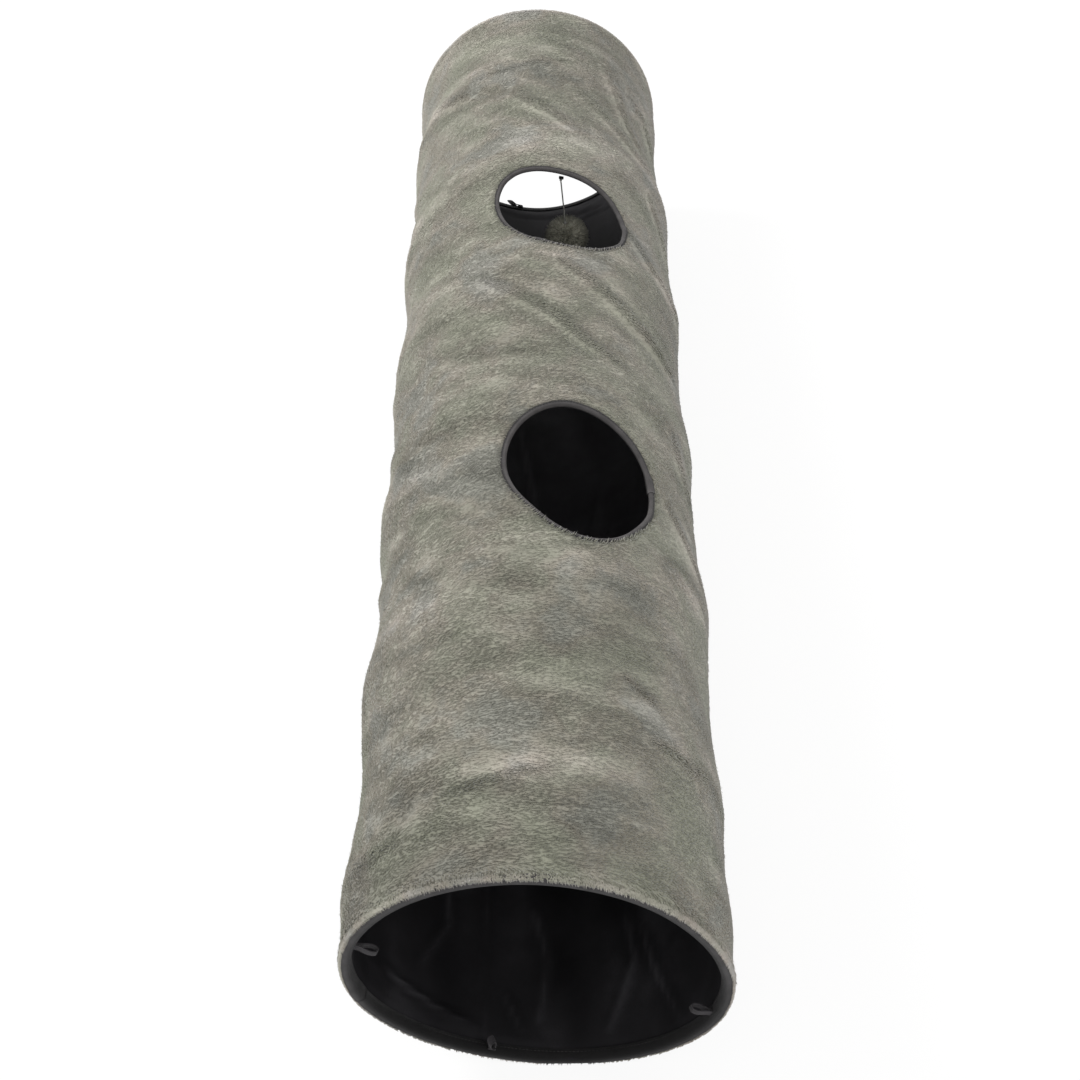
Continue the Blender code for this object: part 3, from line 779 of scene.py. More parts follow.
# The photograph's viewpoint, from the near mouth's middle, and its lens in the photograph's pixels
CAMERA_PLACE = (0.10484, -0.48895, 1.03762)
CAMERA_YAW, CAMERA_PITCH, CAMERA_ROLL = -0.10873, 0.83069, -0.14893
CAMERA_LENS = 1455.555
PHOTO_WIDTH = 1080
SENSOR_WIDTH = 36.0


def floor_material():
    """White floor that keeps the object's shadow, lifted to white for the camera, gloss and glass."""
    g = material_graph("floor")
    g.tree.nodes.clear()
    seen = g.seen()
    plain = g.add("BsdfDiffuse", {"Color": g.grey(g.between(seen, FLOOR_PLAIN, FLOOR_SHADED))})
    lift = g.add("Emission", {"Color": (1, 1, 1, 1), "Strength": g.between(seen, 0.0, FLOOR_LIFT)})
    g.add("OutputMaterial", {"Surface": g.add("AddShader", {0: plain, 1: lift})})
    return g.owner


def add_sky():
    """A world that looks white and lights the object at a plain level."""
    world = bpy.data.worlds.new("sky")
    g = Graph(world)
    background = g.tree.nodes["Background"]
    g.set(background, "Color", (1, 1, 1, 1))
    g.set(background, "Strength", g.between(g.seen(), SKY, 1.0))
    bpy.context.scene.world = world


def add_camera():
    """The photograph's viewpoint."""
    data = bpy.data.cameras.new("camera")
    data.sensor_width = SENSOR_WIDTH
    data.lens = CAMERA_LENS / PHOTO_WIDTH * SENSOR_WIDTH
    camera = linked("camera", data)
    turned = Matrix.Rotation(-CAMERA_YAW, 4, "Z") @ Matrix.Rotation(TOP - CAMERA_PITCH, 4, "X")
    camera.matrix_world = turned @ Matrix.Rotation(CAMERA_ROLL, 4, "Z")
    camera.location = Vector(CAMERA_PLACE) + Vector((0, -LENGTH / 2, AXIS_HEIGHT))
    bpy.context.scene.camera = camera


def add_lamp(name, place, target, size, watts):
    """A soft square lamp."""
    data = bpy.data.lights.new(name, "AREA")
    data.size = size
    data.energy = watts
    lamp = linked(name, data)
    lamp.location = place
    lamp.rotation_mode = "QUATERNION"
    lamp.rotation_quaternion = (Vector(target) - Vector(place)).to_track_quat("-Z", "Y")


def add_stage():
    """Floor, lamps, sky and camera."""
    points = FLOOR_HALF * np.array([(-1, -1, 0), (1, -1, 0), (1, 1, 0), (-1, 1, 0)])
    floor = mesh_object("floor", points, np.array([[0, 1, 2, 3]]), floor_material())
    add_sky()
    for name, settings in LAMPS.items():
        add_lamp(name, *settings)
    bpy.context.scene.view_settings.view_transform = "Standard"
    add_camera()


# The plush and its pile

PILE_SPACING = 1.80 * MM
LIP_TUFTS = 8000
MOST_FACES = 195_000
LOWEST_TUFT = -0.985
TUFT_LENGTHS = (3.2 * MM, 6.0 * MM)
TUFT_WIDTHS = (0.9 * MM, 1.9 * MM)
TUFT_LEAN = 0.13

# Between which distances from a mouth the dense pile starts, and its lip, fringe and hanging tufts end
PILE_STARTS = (2.2 * MM, 3.8 * MM)
LIP_ENDS = (7 * MM, 16 * MM)
FRINGE_ENDS = (6.5 * MM, 13 * MM)
HANGING_ENDS = (3.0 * MM, 8.0 * MM)

# Between which distances from a hole the dense pile starts, and tufts aren't drawn over its tape any more
HOLE_PILE_STARTS = (3 * MM, 9 * MM)
HOLE_PULL_ENDS = (6 * MM, 13 * MM)

# Patches where the pile was brushed up, and where it is rough, clumped or thin
BRUSHED_WIDE = Noise(21, 0.110, 0.060, -15.0)
BRUSHED_MID = Noise(22, 0.052, 0.018, -10.0)
BRUSHED_SMALL = Noise(23, 0.016, 0.006, -4.0)
ROUGHNESS = Noise(28, 0.034, 0.016, -8.0)
CLUMPS = Noise(26, 0.0075, 0.0026, -5.0)
GAPS = Noise(27, 0.0040, 0.0016, 4.0)
BRUSHED_TURNS = ((0.20, Noise(24, 0.060)), (0.14, Noise(25, 0.014)))
STRAY_TURN = 0.17

# How light the pile is: plain and in patches, then painted light over the wire, painted sheen on the sides,
# a painted highlight on a crease and painted light and shade on its slope
PLAIN_TONE = 0.45
WIDE_TONE, MID_TONE, SMALL_TONE = 0.07, 0.12, 0.10
RIDGE_PAINTED_LIGHT = 0.14
SIDE_PAINTED_SHEEN = 0.17
CREST_PAINTED_HIGHLIGHT = 9.0
SLOPE_PAINTED_SHADING = 0.16

# How much lighter or darker it is, by place along: painted light and shade, lightest towards the far end
FADE_PLACES = (0.1, 0.3, 0.7, 0.9, 1.1, 1.19)
FADE_PAINTED_LIGHT = (-0.04, 0.02, 0.05, 0.11, 0.10, 0.18)


def tone_of(angle, along):
    """How light the pile looks, from 0 to 1, with painted light over the wire, on the sides, on the creases
    and towards the far end.
    """
    arc = arc_of(angle)
    wide, mid, small = (noise(arc, along) for noise in (BRUSHED_WIDE, BRUSHED_MID, BRUSHED_SMALL))
    ridge = (1 - bay_drop(angle, along)) ** 2
    height, slope = creases(angle, along)
    tone = PLAIN_TONE + WIDE_TONE * wide + MID_TONE * mid + SMALL_TONE * small
    tone = tone + RIDGE_PAINTED_LIGHT * ridge * (0.5 + mid) + np.interp(along, FADE_PLACES, FADE_PAINTED_LIGHT)
    tone = tone + SIDE_PAINTED_SHEEN * (1 - np.maximum(np.sin(angle), 0))
    return tone + CREST_PAINTED_HIGHLIGHT * height * (1 + 0.8 * small) + SLOPE_PAINTED_SHADING * slope


def pile_body(angle, along):
    """Share of the pile there, none at a binding, and the same with less on a crest, where it parts."""
    crest = np.maximum(creases(angle, along)[0], 0)
    full = smooth(*PILE_STARTS, from_mouth(along)) * (1 - at_hole(angle, along, *HOLE_PILE_STARTS))
    return full, full * (1 - 1.1 * smooth(0.4 * MM, 2.0 * MM, crest))


def pile_lip(edge):
    """Share of the pile's lip, which stands over the binding at a mouth."""
    return smooth(*PILE_STARTS, edge) * (1 - smooth(*LIP_ENDS, edge))


def make_cover(material):
    """The plush's woven back, which the pile stands on."""
    angle, along, quads = tube_grid(COVER_STEP, COVER_ENDS)
    full, body = pile_body(angle, along)
    stand = PILE_BODY * body + PILE_LIP * pile_lip(from_mouth(along))
    outside = on_floor(on_cloth(stand, angle, along), COVER_LEAST)
    inside = on_floor(on_cloth(-CLOTH_THICKNESS, angle, along), BACK_LEAST)
    points, faces = shell(outside, inside, quads)
    # Painted shade: the back is darkened where the pile stops by a mouth's or a hole's tape.
    values = {"tone": np.tile(tone_of(angle, along), 2), "tip": np.tile(full, 2)}
    return mesh_object("plush_cloth", points, faces, material, values)


def tuft_places(rng, spacing):
    """Where the tufts stand, as angles and places along, with more of them at each mouth."""
    columns, rows = round(TAU * RADIUS / spacing), round(LENGTH / spacing)
    j, i = np.meshgrid(np.arange(columns), np.arange(rows))
    shift = rng.uniform(-0.5, 0.5, (2, rows, columns))
    angle = (TOP + math.pi - TAU * (j + 0.5 * (i % 2) + shift[0]) / columns).ravel()
    along = ((i + 0.5 + shift[1]) * LENGTH / rows).ravel()
    keep = from_mouth(along) > rng.uniform(0.8, 2.0, len(along)) * MM
    keep &= np.sin(angle) > LOWEST_TUFT
    for hole in HOLES.values():
        keep &= hole.beyond(angle, along) > HOLE_LEG + rng.uniform(0.0, 1.2, len(along)) * MM
    near, far = rng.uniform(1.0, 4.6, (2, LIP_TUFTS)) * MM
    lips = np.concatenate([near, LENGTH - far])
    return np.concatenate([angle[keep], rng.uniform(0, TAU, len(lips))]), np.concatenate([along[keep], lips])


def brushed(rng, angle, along, fringe):
    """Each tuft's turn from straight round the tunnel, and how far it is drawn over a hole's tape."""
    arc = arc_of(angle)
    turn = layered(BRUSHED_TURNS, arc, along) + rng.normal(0, STRAY_TURN, len(arc))
    outward = np.where(along < LENGTH / 2, -1.0, 1.0) * TAU / 4
    turn = turn * (1 + 1.2 * fringe) + outward * 0.8 * fringe
    over = np.zeros(len(arc))
    for hole in HOLES.values():
        beyond = hole.beyond(angle, along)
        behind = smooth(0.1, 0.8, (hole.along - along) / hole.half_length)
        pull = behind * (1 - smooth(*HOLE_PULL_ENDS, beyond)) * (beyond < 0.5 * RADIUS)
        inwards = np.arctan2(hole.along - along, arc_of(hole.angle) - arc)
        turn = turn * (1 + pull) * (1 - 0.75 * pull) + inwards * 0.75 * pull
        over = np.maximum(over, pull)
    return turn, over


def tufts(rng, angle, along):
    """Each tuft's four points, three at its foot and one at its tip, and its tone."""
    count = len(angle)
    arc = arc_of(angle)
    edge = from_mouth(along)
    fringe = 1 - smooth(*FRINGE_ENDS, edge)
    turn, over = brushed(rng, angle, along, fringe)

    # Clumps and rough patches stand up, gaps lie low, a few tufts stick up, and those at a mouth hang
    clump = CLUMPS(arc, along)
    rough = 0.5 + 0.5 * ROUGHNESS(arc, along)
    low = smooth(0.44, 0.72, -GAPS(arc, along)) * (0.35 + 0.65 * rough)
    stray = rng.random(count) < 0.03 + 0.03 * rough
    hang = 1 - smooth(*HANGING_ENDS, edge)
    lean = TUFT_LEAN + 0.20 * rough + 0.12 * clump * rough + rng.uniform(-0.06, 0.06, count)
    lean += 0.25 * stray * (1 - fringe) + 0.22 * fringe - 0.86 * hang + 0.04 * over
    length = rng.uniform(*TUFT_LENGTHS, count) * (1 - 0.35 * low) * (1 - 0.42 * hang)
    width = rng.uniform(*TUFT_WIDTHS, count) * (1 + 0.2 * hang) * (1 - 0.3 * stray)

    # A tuft that would reach over a hole's tape is cut short
    flat_run = length * np.cos(lean)
    for hole in HOLES.values():
        reached = hole.beyond(angle - flat_run * np.cos(turn) / RADIUS, along + flat_run * np.sin(turn))
        length = np.where((reached < HOLE_LEG) & (over < 0.35), 0.35 * length, length)

    normal = np.stack([np.cos(angle), np.zeros(count), np.sin(angle)], -1)
    around = np.stack([np.sin(angle), np.zeros(count), -np.cos(angle)], -1)
    forward = around * np.cos(turn)[:, None] + np.array([0.0, 1.0, 0.0]) * np.sin(turn)[:, None]
    side = np.cross(normal, forward) * (width / 2)[:, None]
    lip = np.maximum(pile_lip(edge), smooth(0.0, 0.8 * MM, edge) * hang)
    stand = (0.4 - 0.7 * low) * MM + 1.15 * PILE_LIP * lip
    root = on_cloth(stand, angle, along)
    back = root + normal * ((1.0 + 0.5 * rough) * MM)[:, None] + forward * (length * 0.30)[:, None]
    tip = root + forward * (length * np.cos(lean))[:, None] + normal * (length * np.sin(lean))[:, None]
    points = on_floor(np.stack([root - side, root + side, back, tip], 1), PILE_LEAST)

    # Painted shade on tufts that lie low in the gaps, and painted light on clumps and stray tufts that stand
    # up. The fringe and the hanging tufts at a mouth are lighter.
    tone = tone_of(angle, along) + (0.03 + 0.06 * rough) * clump + rng.normal(0, 0.04, count)
    return points, tone + 0.16 * fringe + 0.26 * hang + 0.14 * stray - 0.26 * low


def make_pile(material, spacing):
    """The pile, as small tapered tufts brushed round the tunnel, in strips of its length."""
    rng = np.random.default_rng(31)
    angle, along = tuft_places(rng, spacing)
    points, tone = tufts(rng, angle, along)
    count = len(along)
    corner_lanes = np.array([(0.0, 0.0), (1.0, 0.0), (0.5, 0.3), (0.5, 1.0)])
    lanes = rng.uniform(0, 90, (count, 1, 2)) + corner_lanes
    pattern = np.array([[0, 1, 3], [1, 2, 3], [2, 0, 3], [0, 2, 1]])
    order = np.argsort(along, kind="stable")
    strips = math.ceil(count * len(pattern) / MOST_FACES)
    pieces = []
    for number, chosen in enumerate(np.array_split(order, strips), 1):
        faces = repeated([pattern], len(chosen), 4)
        # The tip values carry painted shade: dark at a tuft's foot, full at its tip.
        values = {"tone": np.repeat(tone[chosen], 4), "tip": np.tile((0.0, 0.0, 0.8, 1.0), len(chosen))}
        corners, lane = points[chosen].reshape(-1, 3), lanes[chosen].reshape(-1, 2)
        pieces.append(mesh_object(f"plush_pile_{number}", corners, faces, material, values, lane))
    return pieces


# The lining and the pieces between the layers

LINING_INSET = 1.0 * MM
CASING_RISE = 1.2 * MM
CASING_EDGE = (3.4 * MM, 5.6 * MM)
TAB_PULL = 1.0 * MM
TAB_SPREAD = 9 * MM
BOUND_ENDS = (8 * MM, 16 * MM)
BOUND_RISE = 0.8 * MM
SEWN_ENDS = (5 * MM, 17 * MM)
SEWN_DEPTH = 1.9 * MM
TURNED_UP_ENDS = (0.7 * MM, 1.1 * MM)

# How light the lining is: plain, with painted light and shade in its folds, a painted highlight on a crease
# with painted light and shade on its slope, and painted light between the places by the far hole
LINING_TONE = 0.5
LINING_FOLD_SHADING = 0.25
LINING_CREST_HIGHLIGHT = 150.0
LINING_SLOPE_SHADING = 0.32
LIT_TONE = 0.55
LIT_STARTS = (0.42, 0.58)
LIT_ENDS = (0.86, 0.98)


def turned_up(edge):
    """1 where the lining's edge is turned up before the wire's ring, inside the binding."""
    return 1 - smooth(*TURNED_UP_ENDS, edge)


def lining_radius(angle, along):
    """The lining's outer side, over the casing tape, sewn in at the holes and bound at the mouths."""
    arc, edge = floor_arc(angle), from_mouth(along)
    casing = CASING_RISE * (1 - smooth(*CASING_EDGE, from_wire(angle, along)))
    shared = np.minimum(folds(angle, along), 0.0)
    tab_off = np.hypot(arc_of(angle) - arc_of(TAB_ANGLE), along - TAB_ALONG)
    rise = -LINING_SAG * held(along) * aloft(angle) * bay_drop(angle, along) - LINING_INSET
    rise = rise + layered(PUCKERS, arc, along) - casing + shared
    rise = rise - lining_creases(angle, along)[0] - TAB_PULL * np.exp(-((tab_off / TAB_SPREAD) ** 2))
    bound = 1 - smooth(*BOUND_ENDS, edge)
    rise = rise * (1 - bound) + BOUND_RISE * bound
    sewn = at_hole(angle, along, *SEWN_ENDS)
    radius = (LINING + rise) * (1 - sewn) + (CLOTH + relief(angle, along) - SEWN_DEPTH) * sewn
    return radius * (1 - turned_up(edge)) + LINING_TURNED_UP * turned_up(edge)


def make_lining(material):
    """The lining, with its puckers, creases and lengthways seam, painted light between the peek holes, and
    painted light and shade on its folds and creases.
    """
    angle, along, quads = tube_grid(LINING_STEP, LINING_ENDS)
    radius = lining_radius(angle, along)
    least = LINING_LEAST - LINING_EDGE_DROP * turned_up(from_mouth(along))
    outside = on_floor(at(radius, angle, along), least)
    inside = on_floor(at(radius - LINING_THICKNESS, angle, along), least + LINING_BACK_RISE)
    points, faces = shell(inside, outside, quads[:, ::-1])
    height, slope = lining_creases(angle, along)
    # Painted light and shade on the folds and creases, and painted light between the peek holes.
    tone = LINING_TONE + LINING_FOLD_SHADING * LINING_FOLDS(floor_arc(angle), along)
    tone += LINING_CREST_HIGHLIGHT * height + LINING_SLOPE_SHADING * slope
    tone += LIT_TONE * smooth(*LIT_STARTS, along) * (1 - smooth(*LIT_ENDS, along))
    return mesh_object("lining_cloth", points, faces, material, {"tone": np.tile(tone, 2)})


def copied(name, node, material):
    """A copy of a CAD node's mesh, drawn to the cloth's real shape."""
    mesh = frame["nodes"][node].data.copy()
    mesh.materials.clear()
    mesh.materials.append(material)
    x, y, z = points_of(mesh).T.astype(float)
    shaped = at(np.hypot(x, z - AXIS_HEIGHT), np.arctan2(z - AXIS_HEIGHT, x), y + LENGTH / 2)
    mesh.vertices.foreach_set("co", shaped.astype(np.float32).ravel())
    mesh.update()
    return linked(name, mesh)


# Tapes and stitches

TAPE_THICKNESS = 0.0008
# Painted shade on the rim tape: its inner leg inside the mouth, and its lower part by the floor
RIM_INSIDE_SHADE = 0.25
RIM_FLOOR_SHADE = 0.40
RIM_STITCH_RADIUS = 0.1390
RIM_STITCH_DEPTH = 7.4 * MM
HOLE_LEG = 0.0050
HOLE_NOSE = 1.9 * MM
HOLE_TAPE_TOP = 1.0 * MM
HOLE_TAPE_BOTTOM = -3.4 * MM
# Painted shade on a hole tape's outer edge by the pile and on its part inside the hole
HOLE_EDGE_SHADE = 0.35
HOLE_STITCH_OUT = 3.4 * MM
STITCH_PITCH = 3.4 * MM
STITCH_SHARE = 0.7
STITCH_RADIUS = 0.25 * MM
STITCH_END = 0.5 * MM

# The rim binding's skin, from its outer leg round to its inner one, in mm in from the mouth and of radius
RIM_PROFILE = MM * np.array(
    [(8.8, 147.2), (6.0, 147.8), (3.5, 148.3), (1.8, 148.4), (0.6, 147.9), (-0.1, 146.8), (-0.4, 145.4)]
    + [(-0.4, 143.8), (-0.1, 142.0), (0.6, 140.6), (1.8, 139.8), (5.0, 139.2), (9.5, 138.7)]
)

# Where each tape's two ends overlap, as degrees round its hole or mouth
TAPE_JOINTS = {"near_hole": 93.0, "far_hole": 250.0, "near": 186.0, "far": 200.0}

# Each mouth's loops: degrees round it, degrees that they lean round it, and degrees that they are twisted
LOOPS = {
    "near": {"left": (157.0, 6.0, 0.0), "bottom": (-112.0, -14.0, 62.0), "right": (-27.0, 4.0, 0.0)},
    "far": {"left": (163.5, 12.0, 0.0), "bottom": (-105.5, -62.0, 20.0), "right": (-20.5, -10.0, 0.0)},
}
LOOP_LENGTH = 0.0198
LOOP_GAP = 0.0046
LOOP_WIDTH = 0.0068
LOOP_THICKNESS = 0.0009
LOOP_ROOT = 0.1415
LOOP_DEPTH = 4.4 * MM


def joined(around, first, overlap, lift):
    """Turns of a tape that goes round from first and overlaps itself, and how far each is lifted."""
    turn = first + (TAU + overlap) * np.linspace(0, 1, around)
    return turn, lift * smooth(first + TAU - overlap, first + TAU, turn)


def make_tape(name, points, run, tape, painted_shade=1.0):
    """A strip of tape, of rows of skin points and each row's distance along it, with painted shade kept on
    its points as tone.
    """
    rows, columns = points.shape[:2]
    across = np.concatenate([[0.0], np.cumsum(np.linalg.norm(np.diff(points[0], axis=0), axis=1))])
    uv = np.stack(np.broadcast_arrays(run[:, None], across[None]), -1).reshape(-1, 2)
    tone = np.broadcast_to(painted_shade, (rows, columns)).ravel()
    return mesh_object(name, points.reshape(-1, 3), strip_faces(rows, columns), tape, {"tone": tone}, uv)


def stitch_turns(first, radius):
    """The turns at which each stitch starts and ends, round a ring of that radius."""
    pitch = STITCH_PITCH / radius
    return np.arange(first, first + TAU, pitch)[:, None] + np.array([0.0, STITCH_SHARE * pitch])


def make_stitches(name, places, material):
    """Raised stitches, each a tube of four rings of six points between two places."""
    first, last = places[:, 0], places[:, 1]
    run = last - first
    run = run / np.linalg.norm(run, axis=1)[:, None]
    up = np.cross(run, np.cross((first + last) / 2 - np.array([0, 0, AXIS_HEIGHT]), run))
    up = up * np.array([1.0, 0.0, 1.0])
    up = up / np.maximum(np.linalg.norm(up, axis=1), 1e-9)[:, None]
    side = np.cross(run, up)
    end = run * STITCH_END
    rings = []
    for place, grow in ((first, 0.35), (first + end, 1.0), (last - end, 1.0), (last, 0.35)):
        for turn in TAU * np.arange(6) / 6:
            rings.append(place + (side * math.cos(turn) + up * math.sin(turn)) * STITCH_RADIUS * grow)
    points = np.stack(rings, 1).reshape(-1, 3)
    one = [grid_faces(4, 6, close_columns=True), np.array([[0, 1, 2, 3, 4, 5], [23, 22, 21, 20, 19, 18]])]
    return mesh_object(name, points, repeated(one, len(places), 24), material)


def make_hole_binding(name, hole, first, tape, thread):
    """Tape folded over a hole's edge, with its stitches and the joint of its two ends."""
    turn, lift = joined(260, first, math.radians(7.0), 0.9 * MM)
    bend = np.linspace(0, math.pi, 13)
    middle, half = (HOLE_TAPE_TOP + HOLE_TAPE_BOTTOM) / 2, (HOLE_TAPE_TOP - HOLE_TAPE_BOTTOM) / 2
    curve = np.stack([HOLE_NOSE - HOLE_NOSE * np.sin(bend), middle + half * np.cos(bend)], -1)
    pressed = MM * np.array([(0.0, 0.2), (1.0, 0.15), (1.6, 0.1)])
    profile = np.concatenate([(HOLE_LEG, HOLE_TAPE_TOP) - pressed, curve, [(HOLE_LEG, HOLE_TAPE_BOTTOM)]])
    section = folded(profile, TAPE_THICKNESS, lift)
    # Painted shade: the tape's outer edge by the pile and its part inside the hole are darkened.
    dark = (section[0, :, 0] > HOLE_LEG - 1.2 * MM) | (section[0, :, 1] < HOLE_TAPE_TOP - 2.6 * MM)
    wave = 0.30 * MM * np.sin(turn * 9 + 1) * np.sin(turn * 4)
    out = section[..., 0] + wave[:, None] * (section[..., 0] > 3 * MM)
    angle, along = hole.edge(turn[:, None], out)
    points = on_cloth(section[..., 1], angle, along)
    binding = make_tape(name, points, turn * hole.half_length, tape, np.where(dark, HOLE_EDGE_SHADE, 1.0))

    angle, along = hole.edge(stitch_turns(first, hole.half_length), HOLE_STITCH_OUT)
    places = on_cloth(HOLE_TAPE_TOP, angle, along)
    return binding, make_stitches(f"{name}_stitches", places, thread)


def make_rim_binding(name, near, first, tape, thread):
    """Tape folded round a mouth and the ring of wire in it, with its stitches and the joint of its ends."""
    turn, lift = joined(300, first, math.radians(4.0), 0.7 * MM)
    section = folded(RIM_PROFILE, TAPE_THICKNESS, lift)
    wave = 0.25 * MM * np.sin(7 * turn + 0.5) * np.sin(3 * turn)
    depth = section[..., 0]
    radius = section[..., 1] + wave[:, None]
    points = on_floor(at(radius, turn[:, None], depth if near else LENGTH - depth), RIM_LEAST)
    # Painted shade: the inner leg inside the mouth and the lower part of the ring by the floor are darkened.
    inner = 1 - smooth(0.1412, 0.1450, section[0, :, 1])
    low = 1 - smooth(-0.55, 0.10, np.sin(turn))
    painted_shade = (1 - (1 - RIM_INSIDE_SHADE) * inner[None]) * (1 - (1 - RIM_FLOOR_SHADE) * low[:, None])
    if not near:
        points, painted_shade = points[:, ::-1], painted_shade[:, ::-1]
    binding = make_tape(name, points, turn * RADIUS, tape, painted_shade)

    depth = RIM_STITCH_DEPTH if near else LENGTH - RIM_STITCH_DEPTH
    places = at(RIM_STITCH_RADIUS, stitch_turns(first, RADIUS), depth)
    return binding, make_stitches(f"{name}_stitches", places, thread)


def make_loop(name, angle, sideways, twist, near, material):
    """A loop of flat tape sewn under the rim binding, a teardrop that leans sideways and is twisted."""
    share = np.linspace(0, 1, 15)
    narrowing = np.sqrt(np.clip(1 - np.maximum(share - 0.75, 0) ** 2 * 15, 0, 1))
    spread = LOOP_GAP / 2 * smooth(0.15, 0.75, share) * narrowing + LOOP_THICKNESS * 0.55
    ply = np.stack([LOOP_LENGTH * share, spread], -1)
    path = np.concatenate([ply, ply[-2::-1] * np.array([1, -1])])
    section = folded(path, LOOP_THICKNESS, np.zeros(1))[0]
    across = np.linspace(-0.5, 0.5, 7) * LOOP_WIDTH
    rows = []
    for off in across:
        thin = 1 - 0.12 * abs(2 * off / LOOP_WIDTH) ** 3
        inward = section[:, 0] * (1 - 0.02 * abs(off) / LOOP_WIDTH)
        free = smooth(0.2, 0.5, inward / LOOP_LENGTH)
        c, s = np.cos(twist * free), np.sin(twist * free)
        place = LOOP_DEPTH + section[:, 1] * thin * c - off * s
        radius = LOOP_ROOT - inward * (1 - (1 - math.cos(sideways)) * free)
        swing = off * c + section[:, 1] * thin * s + inward * math.sin(sideways) * free
        rows.append(at(radius, angle + swing / LOOP_ROOT, place if near else LENGTH - place))
    points = np.stack(rows)
    if not near:
        points = points[:, ::-1]
    return make_tape(name, points, across, material)


# The toy

STRANDS = 9000


def make_pompom(material):
    """A ball of tapered strands of yarn, shorter where it is tied."""
    low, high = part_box("pompom")
    radius = (high.x - low.x) / 2
    centre = np.array([(low.x + high.x) / 2, (low.y + high.y) / 2, low.z + radius])
    rng = np.random.default_rng(41)
    k = np.arange(STRANDS) + 0.5
    polar = np.arccos(1 - 2 * k / STRANDS)
    turn = k * math.pi * (1 + math.sqrt(5))
    out = np.stack([np.sin(polar) * np.cos(turn), np.sin(polar) * np.sin(turn), np.cos(polar)], -1)
    out += rng.normal(0, 0.10, out.shape)
    out /= np.linalg.norm(out, axis=1)[:, None]
    dent = 1 - 0.30 * np.exp(-((np.arccos(np.clip(out[:, 2], -1, 1)) / math.radians(22)) ** 2))
    reach = radius * dent * rng.uniform(0.86, 1.06, STRANDS)

    # Two directions across each strand, spun by chance
    helper = np.where(np.abs(out[:, 2:]) < 0.9, np.array([[0.0, 0.0, 1.0]]), np.array([[1.0, 0.0, 0.0]]))
    across = np.cross(out, helper)
    across /= np.linalg.norm(across, axis=1)[:, None]
    other = np.cross(out, across)
    spin = rng.uniform(0, TAU, STRANDS)
    c, s = np.cos(spin)[:, None], np.sin(spin)[:, None]
    side, up = across * c + other * s, other * c - across * s

    width = rng.uniform(0.8, 1.3, STRANDS)[:, None] * MM
    root = centre + out * (reach * 0.45)[:, None]
    bend = side * rng.normal(0, 1.4, STRANDS)[:, None] * MM + up * rng.normal(0, 1.4, STRANDS)[:, None] * MM
    middle = centre + out * (reach * 0.80)[:, None] + bend * 0.4
    tip = centre + out * reach[:, None] + bend
    corners = (side, side * -0.5 + up * 0.87, side * -0.5 - up * 0.87)
    rings = [root + d * width * 0.6 for d in corners] + [middle + d * width * 0.5 for d in corners] + [tip]
    points = np.stack(rings, 1).reshape(-1, 3)
    quads = np.array([[0, 1, 4, 3], [1, 2, 5, 4], [2, 0, 3, 5]])
    triangles = np.array([[3, 4, 6], [4, 5, 6], [5, 3, 6], [2, 1, 0]])
    faces = repeated((quads, triangles), STRANDS, len(rings))
    tone = np.repeat(np.clip(0.42 + rng.normal(0, 0.20, STRANDS), 0, 1), len(rings))
    # The tip values carry painted shade, dark at a strand's root.
    tips = np.tile((0.1, 0.1, 0.1, 0.7, 0.7, 0.7, 1.0), STRANDS)
    return mesh_object("pompom_yarn", points, faces, material, {"tone": tone, "tip": tips})


def make_cord(material):
    """The elastic, from the tab's knot down to the pom-pom's, with its path and diameter."""
    low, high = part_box("elastic_cord")
    x, y = (low.x + high.x) / 2, (low.y + high.y) / 2
    radius = (high.x - low.x) / 2
    count, sides = 40, 12
    heights = np.linspace(high.z, low.z, count)
    turns = TAU * np.arange(sides) / sides
    rings = (x + radius * np.cos(turns), y + radius * np.sin(turns), heights[:, None])
    points = np.stack(np.broadcast_arrays(*rings), -1).reshape(-1, 3)
    top = np.arange(sides)[None]
    bottom = (count - 1) * sides + top[:, ::-1]
    faces = [grid_faces(count, sides, close_columns=True), top, bottom]
    cord = mesh_object("cord", points, faces, material)
    return cord, [(x, y, z) for z in heights], radius * 2


# The pieces in their places


def fold(obj, slot, *nodes):
    """The piece is attached to the near end's body with a mesh of its own, and the CAD nodes it stands for
    are hidden.
    """
    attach(obj, "near_end")
    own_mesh(obj)
    return stands_for(obj, slot, *nodes)


def stands_for(obj, slot, *nodes):
    """Hides the CAD nodes that the piece stands for. The slot is not used."""
    if nodes:
        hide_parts(*nodes)
    return obj


def add_layers(lining):
    """The plush with its pile, the lining, and the wire and its casing between them."""
    cover = fold(make_cover(plush_material("plush_cloth", 0.20, streaked=False)), "plush", "plush_cover")
    spacing = PILE_SPACING
    plush = plush_material("plush_pile", 0.55, streaked=True)
    pile = [fold(piece, "plush") for piece in make_pile(plush, spacing)]

    inner = fold(make_lining(lining), "lining", "lining")

    fold(copied("spring_helix", "spring_wire", steel_material()), "spring_steel", "spring_wire")
    fold(copied("wire_casing", "wire_casing_tape", lining), "lining", "wire_casing_tape")


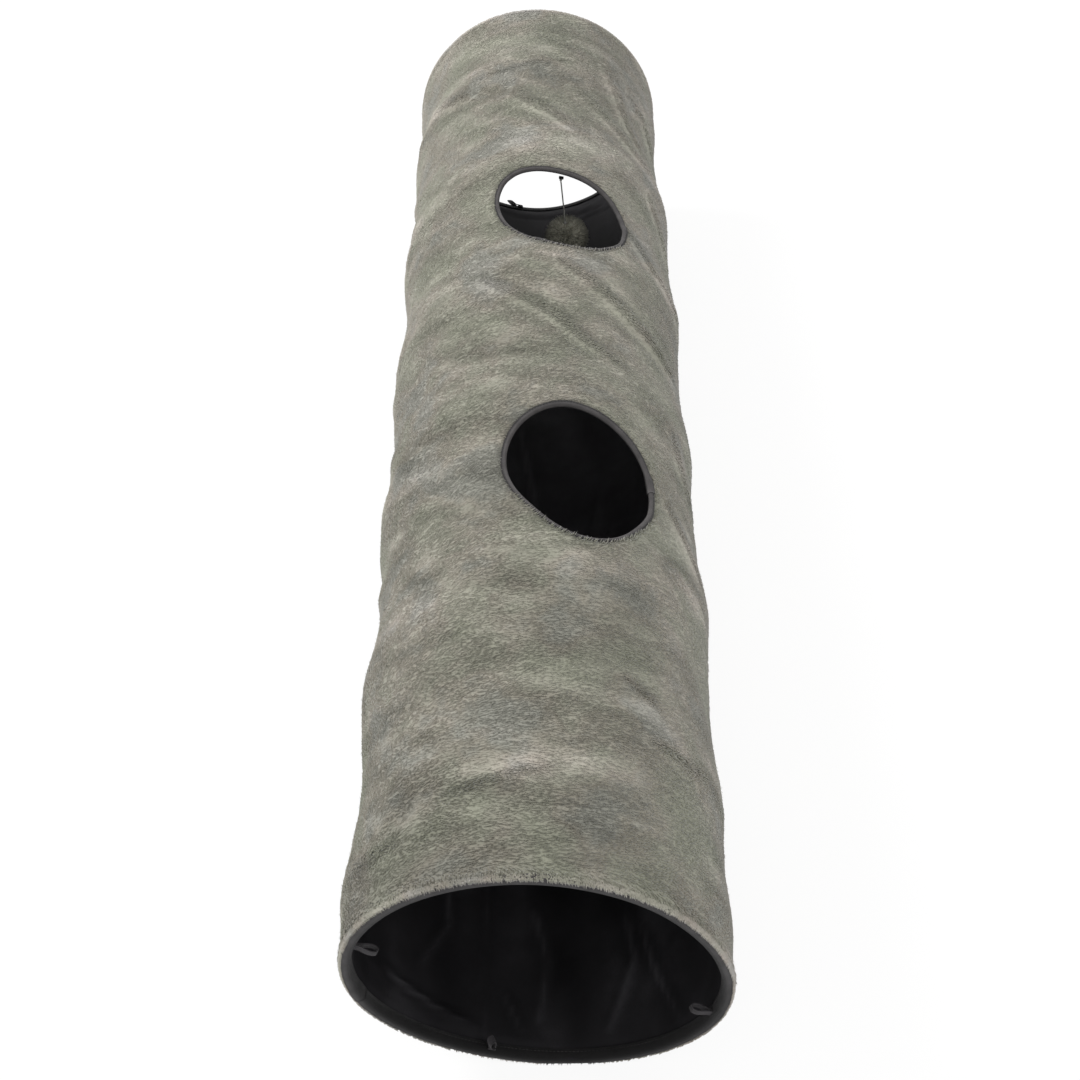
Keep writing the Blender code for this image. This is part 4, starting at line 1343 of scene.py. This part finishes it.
def add_hole_bindings(thread):
    """The tape round each peek hole."""
    tape = tape_material("hole_tape", (58, 56, 56), (90, 87, 87))
    for name, hole in HOLES.items():
        joint = math.radians(TAPE_JOINTS[name])
        binding, stitches = make_hole_binding(f"{name}_tape", hole, joint, tape, thread)
        fold(binding, "binding_tape", f"{name}_binding")
        fold(stitches, "binding_tape")


def add_mouth(end, tape, loop_tape, thread, vinyl):
    """What a mouth carries: its binding, the wire's cap and its loops."""
    body = f"{end}_end"
    joint = math.radians(TAPE_JOINTS[end])
    binding, stitches = make_rim_binding(f"{end}_rim_tape", end == "near", joint, tape, thread)
    stands_for(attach(binding, body), "binding_tape", f"{end}_rim_binding")
    stands_for(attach(stitches, body), "binding_tape")
    cap = copied(f"{end}_cap", f"{end}_wire_cap", vinyl)
    stands_for(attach(cap, body), "vinyl_cap", f"{end}_wire_cap")
    for place, turns in LOOPS[end].items():
        angle, sideways, twist = map(math.radians, turns)
        loop = make_loop(f"{end}_{place}_loop_tape", angle, sideways, twist, end == "near", loop_tape)
        middle = points_of(loop.data).mean(0)
        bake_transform(loop)
        stands_for(loop, "binding_tape", f"{end}_loop_{place}")


def add_toy(tab_tape):
    """The pom-pom on its elastic, and the looks of the tab and the knots."""
    elastic = cord_material()
    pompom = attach(make_pompom(fluff_material()), "toy")
    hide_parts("pompom")

    cord, path, diameter = make_cord(elastic)
    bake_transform(cord)
    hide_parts("elastic_cord")
    nodes = frame["nodes"]

    for name, material in {"cord_tab": tab_tape, "cord_knot": elastic, "pompom_knot": elastic}.items():
        nodes[name].data.materials.clear()
        nodes[name].data.materials.append(material)


def main():
    add_stage()
    thread = thread_material()
    add_layers(lining_material())
    add_hole_bindings(thread)
    # The rim's tape is the hole tape's cloth written darker: painted shade.
    tape = tape_material("binding_tape", (52, 50, 51), (82, 80, 81))
    loop_tape = tape_material("loop_tape", (36, 34, 36), (60, 57, 60))
    vinyl = vinyl_material()
    for end in ("near", "far"):
        add_mouth(end, tape, loop_tape, thread, vinyl)
    add_toy(loop_tape)


main()
